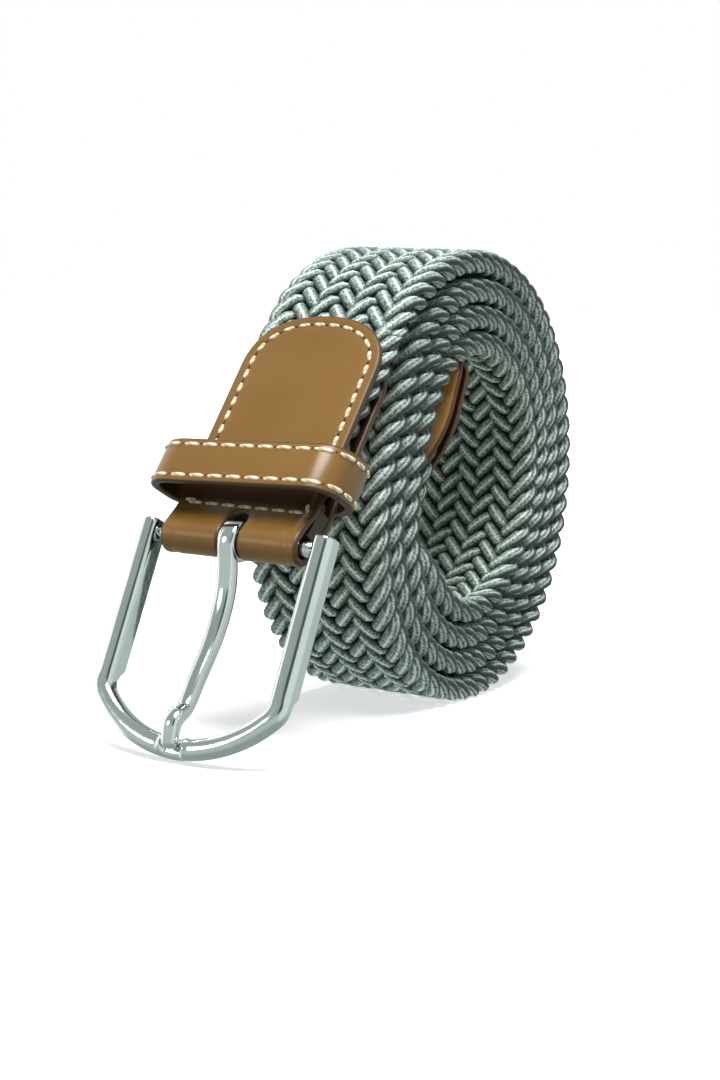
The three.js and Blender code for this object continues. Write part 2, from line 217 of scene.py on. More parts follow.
class Nodes:
    """Adds nodes to one tree, and links whatever is a wire."""

    MIX_FACTOR, MIX_LOW, MIX_HIGH, MIX_RESULT = 0, 6, 7, 2

    def __init__(self, tree: bpy.types.NodeTree) -> None:
        """Keeps the tree."""
        self.tree = tree

    def add(self, kind: str, settings: dict | None = None, values: dict | None = None) -> bpy.types.Node:
        """Adds one node.

        Args:
            kind: the node's type.
            settings: its properties, which are set first.
            values: numbers, colours or wires for its inputs, by name or number.

        Returns:
            The new node.
        """
        node = self.tree.nodes.new(kind)
        for name, value in (settings or {}).items():
            setattr(node, name, value)
        for name, value in (values or {}).items():
            if isinstance(value, Wire):
                self.tree.links.new(value.socket, node.inputs[name])
            else:
                node.inputs[name].default_value = value
        return node

    def wire(self, kind: str, output: str | int, settings: dict | None = None, **values: object) -> Wire:
        """Adds one node and gives one of its outputs.

        Args:
            kind: the node's type.
            output: the output's name or number.
            settings: its properties.
            values: its inputs, by name, with underscores for spaces.

        Returns:
            The output.
        """
        named = {name.replace("_", " "): value for name, value in values.items()}
        return Wire(self, self.add(kind, settings, named).outputs[output])

    def blend(self, amount: Wire | float, low: Wire | Rgb, high: Wire | Rgb) -> Wire:
        """Mixes two colours.

        Args:
            amount: the second one's share.
            low: the first colour.
            high: the second colour.

        Returns:
            The mixed colour.
        """
        first, second = (c if isinstance(c, Wire) else (*c, 1.0) for c in (low, high))
        values = {self.MIX_FACTOR: amount, self.MIX_LOW: first, self.MIX_HIGH: second}
        node = self.add("ShaderNodeMix", {"data_type": "RGBA"}, values)
        return Wire(self, node.outputs[self.MIX_RESULT])

    def parts(self, vector: Wire) -> tuple[Wire, ...]:
        """A vector's three numbers."""
        node = self.add("ShaderNodeSeparateXYZ", None, {"Vector": vector})
        return tuple(Wire(self, output) for output in node.outputs)

    def vector_math(self, operation: str, output: str, **values: object) -> Wire:
        """Adds a Vector Math node.

        Args:
            operation: what it does.
            output: the name of the output that is wanted.
            values: its inputs: first, second, or another by its name.

        Returns:
            The output.
        """
        numbered = {"first": 0, "second": 1}
        inputs = {numbered.get(name, name): value for name, value in values.items()}
        node = self.add("ShaderNodeVectorMath", {"operation": operation}, inputs)
        return Wire(self, node.outputs[output])

    def attribute(self, name: str) -> Wire:
        """A number that the mesh carries."""
        return self.wire("ShaderNodeAttribute", "Fac", {"attribute_name": name})

    def object_place(self) -> Wire:
        """The point in the piece's own frame."""
        return self.wire("ShaderNodeTexCoord", "Object")

    def noise(self, scale: float, detail: float = 2.0) -> Wire:
        """Soft noise round 0.5 in the piece's own frame."""
        return self.wire("ShaderNodeTexNoise", "Fac", Vector=self.object_place(), Scale=scale, Detail=detail)

    def bump(self, height: Wire, distance: float) -> Wire:
        """A normal that follows a height."""
        return self.wire("ShaderNodeBump", "Normal", Height=height, Distance=distance)


@dataclass(frozen=True)
class Finish:
    """A material: its name and how it is made."""

    name: str

    def make(self) -> bpy.types.Material:
        """Makes the material, and lets the finish fill in its surface.

        Returns:
            The material.
        """
        material = bpy.data.materials.new(self.name)
        material.use_nodes = True
        nodes = Nodes(material.node_tree)
        surface = material.node_tree.nodes["Principled BSDF"]
        for name, value in self.surface(nodes).items():
            if isinstance(value, Wire):
                material.node_tree.links.new(value.socket, surface.inputs[name])
            else:
                surface.inputs[name].default_value = value
        return material

    def surface(self, nodes: Nodes) -> dict[str, object]:
        """The values and wires of the surface's inputs.

        Args:
            nodes: adds nodes to the material's tree.

        Returns:
            A value or wire for each input that the finish sets.
        """
        raise NotImplementedError


@dataclass(frozen=True)
class CordFinish(Finish):
    """Covered elastic cord: mottled grey-green yarn, with painted shade on its flanks and where it dives
    under other cords, a painted highlight on its crown, and a bright painted highlight line along its ridge.
    """

    # dark fibres, and the painted shade on the cord's flanks and where it dives under others
    dark_fibre_and_shade: Rgb = (0.016, 0.025, 0.020)
    yarn: Rgb = (0.325, 0.456, 0.392)
    # the painted highlight on the cord's crown
    pale: Rgb = (0.640, 0.820, 0.725)
    # the painted highlight line along the ridge, and along the flanks at the braid's rim
    painted_glint: Rgb = (0.920, 1.000, 0.955)
    wrap_pitch: float = 0.00056
    strands: float = 2.0
    wander_scale: float = 700.0
    wander_turn: float = 7.0
    noise_detail: float = 3.0
    fibre_scale: float = 1700.0
    fibre_span: Span = (0.38, 0.62)
    patch_scale: float = 60.0
    patch_span: Span = (0.3, 0.7)
    patch_floor: float = 0.7
    # how far the painted shade of a diving cord and of its flanks reaches
    crest_span: Span = (0.25, 0.95)
    crest_floor: float = 0.15
    crown_span: Span = (0.02, 0.70)
    crown_at_brim: float = 0.10
    wrap_in_mottle: float = 0.25
    mottle_floor: float = 0.18
    # strength of the painted crown highlight, and how much weaker it is at the rim
    paleness: float = 0.55
    dulled_at_brim: float = 0.40
    ridge_at: float = 0.12
    ridge_span: Span = (0.12, 0.26)
    lip_at: float = 0.72
    lip_span: Span = (0.04, 0.17)
    lip_strength: float = 0.70
    fibre_in_glint: float = 0.6
    broken_span: Span = (0.15, 0.6)
    broken_floor: float = 0.55
    roughness: float = 0.55
    polish: float = 0.2
    wrap_height: float = 0.15
    fibre_height: float = 0.6
    bump: float = 0.00011
    sheen: float = 0.08
    sheen_roughness: float = 0.4
    specular: float = 0.6

    def surface(self, nodes: Nodes) -> dict[str, object]:
        """See Finish.surface."""
        along = nodes.attribute("along")
        across = nodes.attribute("across")
        brim = nodes.attribute("brim")
        crest = nodes.attribute("crest").eased(*self.crest_span)
        angle = nodes.attribute("rise").math("ARCTAN2", across)
        wander = nodes.noise(self.wander_scale)
        turn = along * (2 * math.pi / self.wrap_pitch) + angle * self.strands + wander * self.wander_turn
        wrap = turn.wave()
        fibre = nodes.noise(self.fibre_scale, self.noise_detail).eased(*self.fibre_span)
        patch = nodes.noise(self.patch_scale, self.noise_detail).eased(*self.patch_span)
        # painted shade: the cord's flanks darker than its crown
        crown = (1.0 - across.size() * (1.0 - brim * self.crown_at_brim)).eased(*self.crown_span)
        mottle = fibre.mixed(wrap, self.wrap_in_mottle)
        # painted shade where the cord dives under others and on its flanks, with the yarn's own mottle
        lit = crown * crest.lifted(self.crest_floor) * mottle.lifted(self.mottle_floor)
        body = nodes.blend(lit, self.dark_fibre_and_shade, self.yarn)
        # painted highlight on the crown, broken up by the mottle
        palest = crown * crest * mottle * mottle * (self.paleness - brim * self.dulled_at_brim)
        body = nodes.blend(palest, body, self.pale)
        # the painted highlight line: along the ridge, and on the flanks near the rim
        ridge = 1.0 - (across - self.ridge_at).size().eased(*self.ridge_span)
        lip = 1.0 - (across.size() - self.lip_at).size().eased(*self.lip_span)
        broken = wrap.mixed(fibre, self.fibre_in_glint).eased(*self.broken_span)
        glint = ridge.most(lip * brim * self.lip_strength) * crest
        glint = glint * broken.lifted(self.broken_floor) * patch.lifted(self.patch_floor)
        return {
            "Base Color": nodes.blend(glint, body, self.painted_glint),
            "Roughness": self.roughness - glint * self.polish,
            "Normal": nodes.bump(wrap * self.wrap_height + fibre * self.fibre_height, self.bump),
            "Sheen Weight": self.sheen,
            "Sheen Roughness": self.sheen_roughness,
            "Specular IOR Level": self.specular,
        }


@dataclass(frozen=True)
class LeatherFinish(Finish):
    """Smooth brown leather: fine grain, slight cloudiness, dark painted edges, and a very dark colour for
    its back that also serves as painted shade inside folds and as painted shadow where another piece covers
    its face.
    """

    hide: Rgb = (0.222, 0.107, 0.0205)
    light: Rgb = (0.248, 0.122, 0.0245)
    paint: Rgb = (0.060, 0.031, 0.013)
    # the leather's back, made very dark to serve as painted shade inside folds and loops, and as painted
    # shadow where another piece covers the face
    underside_and_shade: Rgb = (0.036, 0.013, 0.006)
    cloud_scale: float = 45.0
    cloud_span: Span = (0.3, 0.7)
    pore_scale: float = 2600.0
    pore_span: Span = (0.0, 0.5)
    pore_shade: float = 0.12
    pore_height: float = 0.4
    grain_scale: float = 1500.0
    grain_detail: float = 4.0
    grain_height: float = 0.8
    grain_roughness: float = 0.12
    edge_span: Span = (0.00036, 0.00072)
    edge_wobble: float = 0.0003
    edge_cover: float = 0.9
    edge_roughness: float = 0.2
    bump: float = 0.000016
    roughness: float = 0.32
    specular: float = 0.4
    coat: float = 0.22
    coat_roughness: float = 0.26

    def surface(self, nodes: Nodes) -> dict[str, object]:
        """See Finish.surface."""
        cloud = nodes.noise(self.cloud_scale).eased(*self.cloud_span)
        place = nodes.object_place()
        pores = nodes.wire("ShaderNodeTexVoronoi", "Distance", Vector=place, Scale=self.pore_scale)
        grain = nodes.noise(self.grain_scale, self.grain_detail)
        ripple = grain - 0.5
        colour = nodes.blend(cloud, self.hide, self.light)
        colour = nodes.blend((1.0 - pores.eased(*self.pore_span)) * self.pore_shade, colour, self.paint)
        painted = 1.0 - (nodes.attribute("edge") + ripple * self.edge_wobble).eased(*self.edge_span)
        colour = nodes.blend(painted * self.edge_cover, colour, self.paint)
        # the dark back colour by the mesh's inside number: the leather's back, painted shade and painted
        # shadow
        colour = nodes.blend(nodes.attribute("inside"), colour, self.underside_and_shade)
        return {
            "Base Color": colour,
            "Roughness": self.roughness + ripple * self.grain_roughness + painted * self.edge_roughness,
            "Normal": nodes.bump(pores * self.pore_height + grain * self.grain_height, self.bump),
            "Specular IOR Level": self.specular,
            "Coat Weight": self.coat,
            "Coat Roughness": self.coat_roughness,
        }


@dataclass(frozen=True)
class ThreadFinish(Finish):
    """Waxed cream thread with a fine twist."""

    cream: Rgb = (0.97, 0.87, 0.64)
    shade: Rgb = (0.66, 0.52, 0.31)
    twist_along: float = 9.0
    twist_across: float = 3.0
    twist_span: Span = (0.05, 0.6)
    fuzz_scale: float = 900.0
    fuzz: float = 0.2
    roughness: float = 0.6
    bump: float = 0.0001

    def surface(self, nodes: Nodes) -> dict[str, object]:
        """See Finish.surface."""
        along = nodes.attribute("along")
        across = nodes.attribute("across")
        twist = (along * self.twist_along + across * self.twist_across).wave()
        return {
            "Base Color": nodes.blend(twist.eased(*self.twist_span), self.shade, self.cream),
            "Roughness": self.roughness + nodes.noise(self.fuzz_scale) * self.fuzz,
            "Normal": nodes.bump(twist, self.bump),
        }


@dataclass(frozen=True)
class HoleFinish(Finish):
    """Painted shade for the needle holes between the stitches: small dark beads on the leather."""

    dark: Rgb = (0.02, 0.008, 0.004)
    lip: Rgb = (0.06, 0.025, 0.010)
    mottle_scale: float = 1200.0
    roughness: float = 0.8

    def surface(self, nodes: Nodes) -> dict[str, object]:
        """See Finish.surface."""
        colour = nodes.blend(nodes.noise(self.mottle_scale), self.dark, self.lip)
        return {"Base Color": colour, "Roughness": self.roughness}


@dataclass(frozen=True)
class PlateFinish(Finish):
    """Polished nickel plate with faint waves and a light haze."""

    bright: Rgb = (0.80, 0.82, 0.82)
    dull: Rgb = (0.66, 0.69, 0.70)
    wave_scale: float = 140.0
    haze_scale: float = 45.0
    haze_detail: float = 4.0
    haze_span: Span = (0.35, 0.75)
    haze_roughness: float = 0.07
    roughness: float = 0.09
    bump: float = 0.00008

    def surface(self, nodes: Nodes) -> dict[str, object]:
        """See Finish.surface."""
        haze = nodes.noise(self.haze_scale, self.haze_detail).eased(*self.haze_span)
        return {
            "Base Color": nodes.blend(haze, self.bright, self.dull),
            "Metallic": 1.0,
            "Roughness": self.roughness + haze * self.haze_roughness,
            "Normal": nodes.bump(nodes.noise(self.wave_scale), self.bump),
        }


@dataclass(frozen=True)
class PaperFinish(Finish):
    """The studio's plain white paper, which glows a little so that shadows on it stay pale."""

    white: Rgb = (0.80, 0.80, 0.80)
    light: Rgb = (1.0, 1.0, 1.0)
    glow: float = 0.55
    roughness: float = 0.9

    def surface(self, nodes: Nodes) -> dict[str, object]:
        """See Finish.surface."""
        return {
            "Base Color": (*self.white, 1.0),
            "Roughness": self.roughness,
            "Specular IOR Level": 0.0,
            "Emission Color": (*self.light, 1.0),
            "Emission Strength": self.glow,
        }


CORD = CordFinish("braid_cord")
LEATHER = LeatherFinish("brown_leather")
# the end piece's edges are near black: edge paint, darkened further as painted shade of the groove between
# its two leaves
TIP_LEATHER = LeatherFinish("tip_leather", hide=(0.620, 0.300, 0.090), light=(0.660, 0.330, 0.100),
                            paint=(0.030, 0.010, 0.005))
THREAD = ThreadFinish("cream_thread")
HOLES = HoleFinish("needle_holes")
PLATE = PlateFinish("nickel_plate")
PAPER = PaperFinish("studio_paper")


def unit(vectors: np.ndarray) -> np.ndarray:
    """Vectors of length 1 in the same directions."""
    return vectors / np.linalg.norm(vectors, axis=-1, keepdims=True)


def lengths_along(points: np.ndarray) -> np.ndarray:
    """The length along a line at each of its points."""
    return np.concatenate([[0.0], np.cumsum(np.linalg.norm(np.diff(points, axis=0), axis=1))])


def read_at(spots: np.ndarray, lengths: np.ndarray, rows: np.ndarray) -> np.ndarray:
    """Rows of two numbers, known at given lengths, read at other lengths."""
    return np.stack([np.interp(spots, lengths, rows[:, i]) for i in range(2)], axis=-1)


def eased(values: np.ndarray, low: float, high: float) -> np.ndarray:
    """Rises smoothly from 0 at low to 1 at high."""
    t = np.clip((np.asarray(values, float) - low) / (high - low), 0.0, 1.0)
    return t * t * (3 - 2 * t)


def arc(centre: tuple[float, float], radius: float, start: float, end: float, steps: int) -> np.ndarray:
    """Points along an arc.

    Args:
        centre: its centre.
        radius: its radius.
        start: its first angle in degrees.
        end: its last angle in degrees.
        steps: how many pieces it has.

    Returns:
        The points, one row each.
    """
    angles = np.radians(np.linspace(start, end, steps + 1))
    return np.stack([centre[0] + radius * np.cos(angles), centre[1] + radius * np.sin(angles)], axis=1)


def make_piece(name: str, points: np.ndarray, faces: list, numbers: dict[str, np.ndarray] | None = None,
               materials: tuple[bpy.types.Material, ...] = ()) -> bpy.types.Object:
    """Makes a smooth mesh object at the origin.

    Args:
        name: the piece's name.
        points: its points.
        faces: its faces, as rows of point numbers.
        numbers: values that its points carry, by name.
        materials: its materials.

    Returns:
        The object.
    """
    mesh = bpy.data.meshes.new(name)
    mesh.from_pydata([tuple(p) for p in points], [], [tuple(int(i) for i in f) for f in faces])
    for key, values in (numbers or {}).items():
        layer = mesh.attributes.new(key, "FLOAT", "POINT")
        layer.data.foreach_set("value", np.asarray(values, np.float32))
    for material in materials:
        mesh.materials.append(material)
    mesh.polygons.foreach_set("use_smooth", [True] * len(mesh.polygons))
    mesh.update()
    piece = bpy.data.objects.new(name, mesh)
    bpy.context.scene.collection.objects.link(piece)
    return piece


def dress(piece: bpy.types.Object, body: Body, slot: Slot, *stands_for: str) -> None:
    """Puts a piece on its body and reports it.

    Args:
        piece: the finished piece.
        body: the body that it moves with.
        slot: the kind of its finish; not used.
        stands_for: the model's nodes that it is shown in place of.
    """
    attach(piece, body.value)
    if stands_for:
        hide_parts(*stands_for)
    log.info("%s: %d faces, on %s", piece.name, len(piece.data.polygons), body.value)


def through_nodes(piece: bpy.types.Object, tree: bpy.types.NodeTree,
                  values: dict[str, object]) -> bpy.types.Object:
    """Runs a piece through a Geometry Nodes tree and keeps the result as its plain mesh.

    Args:
        piece: the object that carries the modifier.
        tree: the tree.
        values: the tree's inputs, by name.

    Returns:
        A new object with the finished mesh; the old one is removed.
    """
    modifier = piece.modifiers.new("nodes", "NODES")
    modifier.node_group = tree
    for item in tree.interface.items_tree:
        if item.item_type == "SOCKET" and item.in_out == "INPUT" and item.name in values:
            modifier[item.identifier] = values[item.name]
    graph = bpy.context.evaluated_depsgraph_get()
    mesh = bpy.data.meshes.new_from_object(piece.evaluated_get(graph), depsgraph=graph)
    name = piece.name
    bpy.data.objects.remove(piece)
    mesh.name = name
    done = bpy.data.objects.new(name, mesh)
    bpy.context.scene.collection.objects.link(done)
    return done


class TreeInputs:
    """A new Geometry Nodes tree with named inputs."""

    def __init__(self, name: str, inputs: dict[str, str]) -> None:
        """Makes the tree.

        Args:
            name: its name.
            inputs: the kind of each named input.
        """
        self.tree = bpy.data.node_groups.new(name, "GeometryNodeTree")
        self.tree.interface.new_socket("Geometry", in_out="INPUT", socket_type="NodeSocketGeometry")
        for key, kind in inputs.items():
            self.tree.interface.new_socket(key, in_out="INPUT", socket_type=f"NodeSocket{kind}")
        self.tree.interface.new_socket("Geometry", in_out="OUTPUT", socket_type="NodeSocketGeometry")
        self.nodes = Nodes(self.tree)
        self.source = self.nodes.add("NodeGroupInput")

    def given(self, name: str) -> Wire:
        """One of the tree's inputs."""
        return Wire(self.nodes, self.source.outputs[name])

    def number(self, name: str) -> Wire:
        """A number that the geometry carries."""
        kind = {"data_type": "FLOAT"}
        return self.nodes.wire("GeometryNodeInputNamedAttribute", "Attribute", kind, Name=name)

    def vector(self, name: str) -> Wire:
        """A vector that the geometry carries."""
        kind = {"data_type": "FLOAT_VECTOR"}
        return self.nodes.wire("GeometryNodeInputNamedAttribute", "Attribute", kind, Name=name)

    def store(self, geometry: Wire, name: str, value: Wire) -> Wire:
        """Stores a number on the geometry's points.

        Args:
            geometry: the geometry.
            name: the number's name.
            value: the number.

        Returns:
            The geometry with the number on it.
        """
        settings = {"data_type": "FLOAT", "domain": "POINT"}
        values = {"Geometry": geometry, "Name": name, "Value": value}
        stored = self.nodes.add("GeometryNodeStoreNamedAttribute", settings, values)
        return Wire(self.nodes, stored.outputs[0])

    def place(self) -> Wire:
        """Where the geometry's points are."""
        return self.nodes.wire("GeometryNodeInputPosition", 0)

    def finish(self, geometry: Wire) -> bpy.types.NodeTree:
        """Ends the tree in Realize Instances, Set Shade Smooth and Set Material.

        Args:
            geometry: what the tree has made.

        Returns:
            The tree.
        """
        real = self.nodes.wire("GeometryNodeRealizeInstances", 0, Geometry=geometry)
        smooth = self.nodes.wire("GeometryNodeSetShadeSmooth", 0, Geometry=real)
        material = self.given("Material")
        done = self.nodes.wire("GeometryNodeSetMaterial", 0, Geometry=smooth, Material=material)
        self.nodes.add("NodeGroupOutput", None, {"Geometry": done})
        return self.tree


@dataclass(frozen=True)
class Hang:
    """The plane of a flat stretch that hangs at a tilt: down runs along it and out leaves its face."""

    x: float
    z: float
    tilt: float

    def down(self) -> np.ndarray:
        """The direction down the stretch, in X and Z."""
        turn = math.radians(self.tilt)
        return np.array([-math.sin(turn), -math.cos(turn)])

    def out(self) -> np.ndarray:
        """The direction out of its face, in X and Z."""
        turn = math.radians(self.tilt)
        return np.array([-math.cos(turn), math.sin(turn)])

    def flat(self, down: np.ndarray | float, out: np.ndarray | float) -> np.ndarray:
        """Points of the plane's side view, in X and Z."""
        origin = np.array([self.x, self.z])
        return origin + np.multiply.outer(down, self.down()) + np.multiply.outer(out, self.out())

    def place(self, down: np.ndarray, across: np.ndarray, out: np.ndarray) -> np.ndarray:
        """Points in space from distances down, across and out."""
        side = self.flat(np.asarray(down, float), np.asarray(out, float))
        return np.stack([side[..., 0], np.broadcast_to(across, side[..., 0].shape), side[..., 1]], axis=-1)


class Track:
    """A line through X and Z that is known by its length, with the direction that leaves its outer side."""

    def __init__(self, points: np.ndarray, step: float, softness: float = 0.0) -> None:
        """Spaces the line's points evenly, and rounds its corners.

        Args:
            points: its corners.
            step: the spacing.
            softness: how far a corner is rounded to each side.
        """
        line = self.spaced(points, step)
        if softness:
            reach = int(3 * softness / step)
            weights = np.exp(-0.5 * (np.arange(-reach, reach + 1) * step / softness) ** 2)
            weights /= weights.sum()
            before = line[0] + (line[0] - line[1]) * np.arange(reach, 0, -1)[:, None]
            after = line[-1] + (line[-1] - line[-2]) * np.arange(1, reach + 1)[:, None]
            padded = np.concatenate([before, line, after])
            line = np.stack([np.convolve(padded[:, i], weights, "valid") for i in range(2)], axis=1)
            line = self.spaced(line, step)
        self.points = line
        self.lengths = lengths_along(line)
        heading = unit(np.gradient(line, axis=0))
        self.outward = np.stack([-heading[:, 1], heading[:, 0]], axis=1)

    @staticmethod
    def spaced(points: np.ndarray, step: float) -> np.ndarray:
        """The same line with evenly spaced points."""
        lengths = lengths_along(points)
        places = np.linspace(0.0, lengths[-1], max(2, int(round(lengths[-1] / step)) + 1))
        return read_at(places, lengths, points)

    @property
    def length(self) -> float:
        """The whole length."""
        return float(self.lengths[-1])

    def place(self, length: np.ndarray, out: np.ndarray) -> np.ndarray:
        """Points at lengths along the line and heights off it, in X and Z."""
        spots = read_at(length, self.lengths, self.points)
        return spots + self.facing(length) * np.asarray(out)[..., None]

    def facing(self, length: np.ndarray) -> np.ndarray:
        """The outward direction at lengths along the line."""
        return unit(read_at(length, self.lengths, self.outward))

    def nearest(self, point: np.ndarray, after: float = 0.0) -> float:
        """The length at which the line comes nearest to a point, past a given length."""
        away = np.linalg.norm(self.points - point, axis=1)
        away[self.lengths < after] = np.inf
        return float(self.lengths[int(np.argmin(away))])


def hinge_place(name: str) -> np.ndarray:
    """Where a joint turns, in X and Z."""
    joint = next(j for j in frame["joints"] if j["name"] == name)
    return np.array([joint["pos_m"][0], joint["pos_m"][2]])


@dataclass(frozen=True)
class Layout:
    """Where the flat stretches and the roll stand, worked out from the buckle's hinge."""

    tab_tilt: float = 38.0
    bar_down: float = 0.0560
    bar_out: float = -0.0016
    tab_before_roll: float = 0.0044
    roll_start: float = 142.0
    tab_face_radius: float = 0.0550
    tip_lean: float = 23.7
    tip_length: float = 0.0380
    tip_end: tuple[float, float] = (-0.0085, 0.0260)

    def tab(self) -> Hang:
        """Works out where the tab hangs.

        Returns:
            The plane of its face, from its round end down.
        """
        bar = hinge_place("frame_hinge")
        at_bar = Hang(bar[0], bar[1], self.tab_tilt)
        start = at_bar.flat(-self.bar_down, -self.bar_out)
        return Hang(start[0], start[1], self.tab_tilt)

    def roll_centre(self) -> np.ndarray:
        """The middle of the roll, in X and Z."""
        turn = math.radians(self.roll_start)
        touch = self.tab().flat(self.tab_before_roll, 0.0)
        return touch - self.tab_face_radius * np.array([math.cos(turn), math.sin(turn)])

    def tip(self) -> Hang:
        """Works out where the end piece stands.

        Returns:
            The plane of its middle, from its round end up.
        """
        lean = math.radians(self.tip_lean)
        end = self.roll_centre() + np.array(self.tip_end)
        start = end - self.tip_length * np.array([math.sin(lean), math.cos(lean)])
        return Hang(start[0], start[1], 180.0 + self.tip_lean)


class Shift(NamedTuple):
    """A place where a turn leaves the true spiral: how far, at which turn angle, and over what spread."""

    amount: float
    at: float
    spread: float


@dataclass
class BraidPath:
    """The braid's middle line: up inside the tab, round the roll, and up to the free end."""

    layout: Layout
    radius: float = 0.0521
    pitch: float = 0.0059
    tallness: float = 0.0009
    last_angle: float = 1320.0
    step: float = 1.5
    half: float = 0.0025
    half_in_tab: float = 0.0016
    half_in_tip: float = 0.00085
    taper: float = 0.008
    stand_off: float = 0.0515
    stand_until: float = 75.0
    tab_height: float = -0.0035
    tab_end: float = 0.0465
    full_until: float = 0.008
    narrow_from: float = 0.030
    tab_narrowing: float = 0.11
    tip_narrowing: float = 0.20
    bend_start: float = 0.008
    bend_end: float = 0.006
    tip_end: float = 0.0365
    tab_points: int = 32
    bend_points: int = 25
    tip_points: int = 24
    shifts: tuple[Shift, ...] = (
        Shift(0.0009, 187.0, 40.0),
        Shift(-0.003, 347.0, 25.0),
        Shift(-0.003, 707.0, 25.0),
        Shift(-0.003, 1067.0, 25.0),
        Shift(-0.0012, 1030.0, 22.0),
    )

    def spiral_radius(self, turn: np.ndarray | float) -> np.ndarray | float:
        """The radius of the true spiral at a turn angle from its start."""
        angle = np.radians(self.layout.roll_start - turn)
        return self.radius - self.half - self.pitch * turn / 360 - self.tallness * np.cos(2 * angle)

    def middle_radius(self, turn: np.ndarray) -> np.ndarray:
        """The radius of the braid's middle, with the places where it leaves the true spiral.

        Args:
            turn: turn angles from the roll's start, in degrees.

        Returns:
            The radius at each.
        """
        radius = self.spiral_radius(turn)
        for shift in self.shifts:
            radius = radius + shift.amount * np.exp(-(((turn - shift.at) / shift.spread) ** 2))
        t = np.clip(turn / self.stand_until, 0.0, 1.0)
        slope = (self.spiral_radius(1.0) - self.spiral_radius(0.0)) * self.stand_until
        rise = self.stand_off - self.spiral_radius(0.0)
        return radius + rise * (2 * t**3 - 3 * t**2 + 1) - slope * (t**3 - 2 * t**2 + t)

    def spiral_point(self, turn: np.ndarray) -> np.ndarray:
        """Points of the roll's middle line, in X and Z."""
        angle = np.radians(self.layout.roll_start - turn)
        heading = np.stack([np.cos(angle), np.sin(angle)], axis=-1)
        return self.layout.roll_centre() + heading * self.middle_radius(turn)[..., None]

    def stations(self) -> tuple[np.ndarray, np.ndarray, np.ndarray]:
        """The whole line.

        Returns:
            Its points in X and Z, the braid's half thickness at each, and how much narrower it is there.
        """
        tab, tip = self.layout.tab(), self.layout.tip()
        depths = np.linspace(self.tab_end, 0.0, self.tab_points)
        in_tab = tab.flat(depths, self.tab_height)
        turns = np.arange(0.0, self.last_angle + self.step / 2, self.step)
        roll = self.spiral_point(turns)
        travelled = self.middle_radius(turns) * np.radians(turns) - self.layout.tab_before_roll
        roll_half = self.half_in_tab + (self.half - self.half_in_tab) * eased(travelled, 0.0, self.taper)
        heading = unit(roll[-1] - roll[-2])
        end = tip.flat(0.0, 0.0)
        ends = (roll[-1], roll[-1] + heading * self.bend_start, end - tip.down() * self.bend_end, end)
        t = np.linspace(0.0, 1.0, self.bend_points)[:, None]
        weights = ((1 - t)**3, 3 * t * (1 - t)**2, 3 * t**2 * (1 - t), t**3)
        bend = sum(weight * point for weight, point in zip(weights, ends))
        left = np.linalg.norm(bend - bend[-1], axis=1)
        bend_half = self.half_in_tip + (self.half - self.half_in_tip) * eased(left, 0.0, self.taper)
        in_tip = tip.flat(np.linspace(0.0, self.tip_end, self.tip_points)[1:], 0.0)
        points = np.concatenate([in_tab, roll, bend[1:], in_tip])
        halves = np.concatenate([
            np.full(len(in_tab), self.half_in_tab), roll_half, bend_half[1:],
            np.full(len(in_tip), self.half_in_tip),
        ])
        narrowing = np.concatenate([
            self.tab_narrowing * eased(depths, self.full_until, self.narrow_from), np.zeros(len(roll)),
            self.tip_narrowing * eased(self.taper - left[1:], 0.0, self.taper),
            np.full(len(in_tip), self.tip_narrowing),
        ])
        return points, halves, narrowing

    def curve(self) -> bpy.types.Object:
        """Makes the line as a curve object.

        Returns:
            The curve, with the thickness as its radius and the narrowing as its tilt.
        """
        points, halves, narrowing = self.stations()
        data = bpy.data.curves.new("braid_path", "CURVE")
        data.dimensions = "3D"
        spline = data.splines.new("POLY")
        spline.points.add(len(points) - 1)
        rows = np.stack([points[:, 0], np.zeros(len(points)), points[:, 1], np.ones(len(points))], axis=1)
        spline.points.foreach_set("co", rows.ravel().astype(np.float32))
        spline.points.foreach_set("radius", (halves / self.half).astype(np.float32))
        spline.points.foreach_set("tilt", narrowing.astype(np.float32))
        path = bpy.data.objects.new("braid_path", data)
        bpy.context.scene.collection.objects.link(path)
        return path

    def length(self) -> float:
        """The line's length."""
        points, _, _ = self.stations()
        return float(lengths_along(points)[-1])


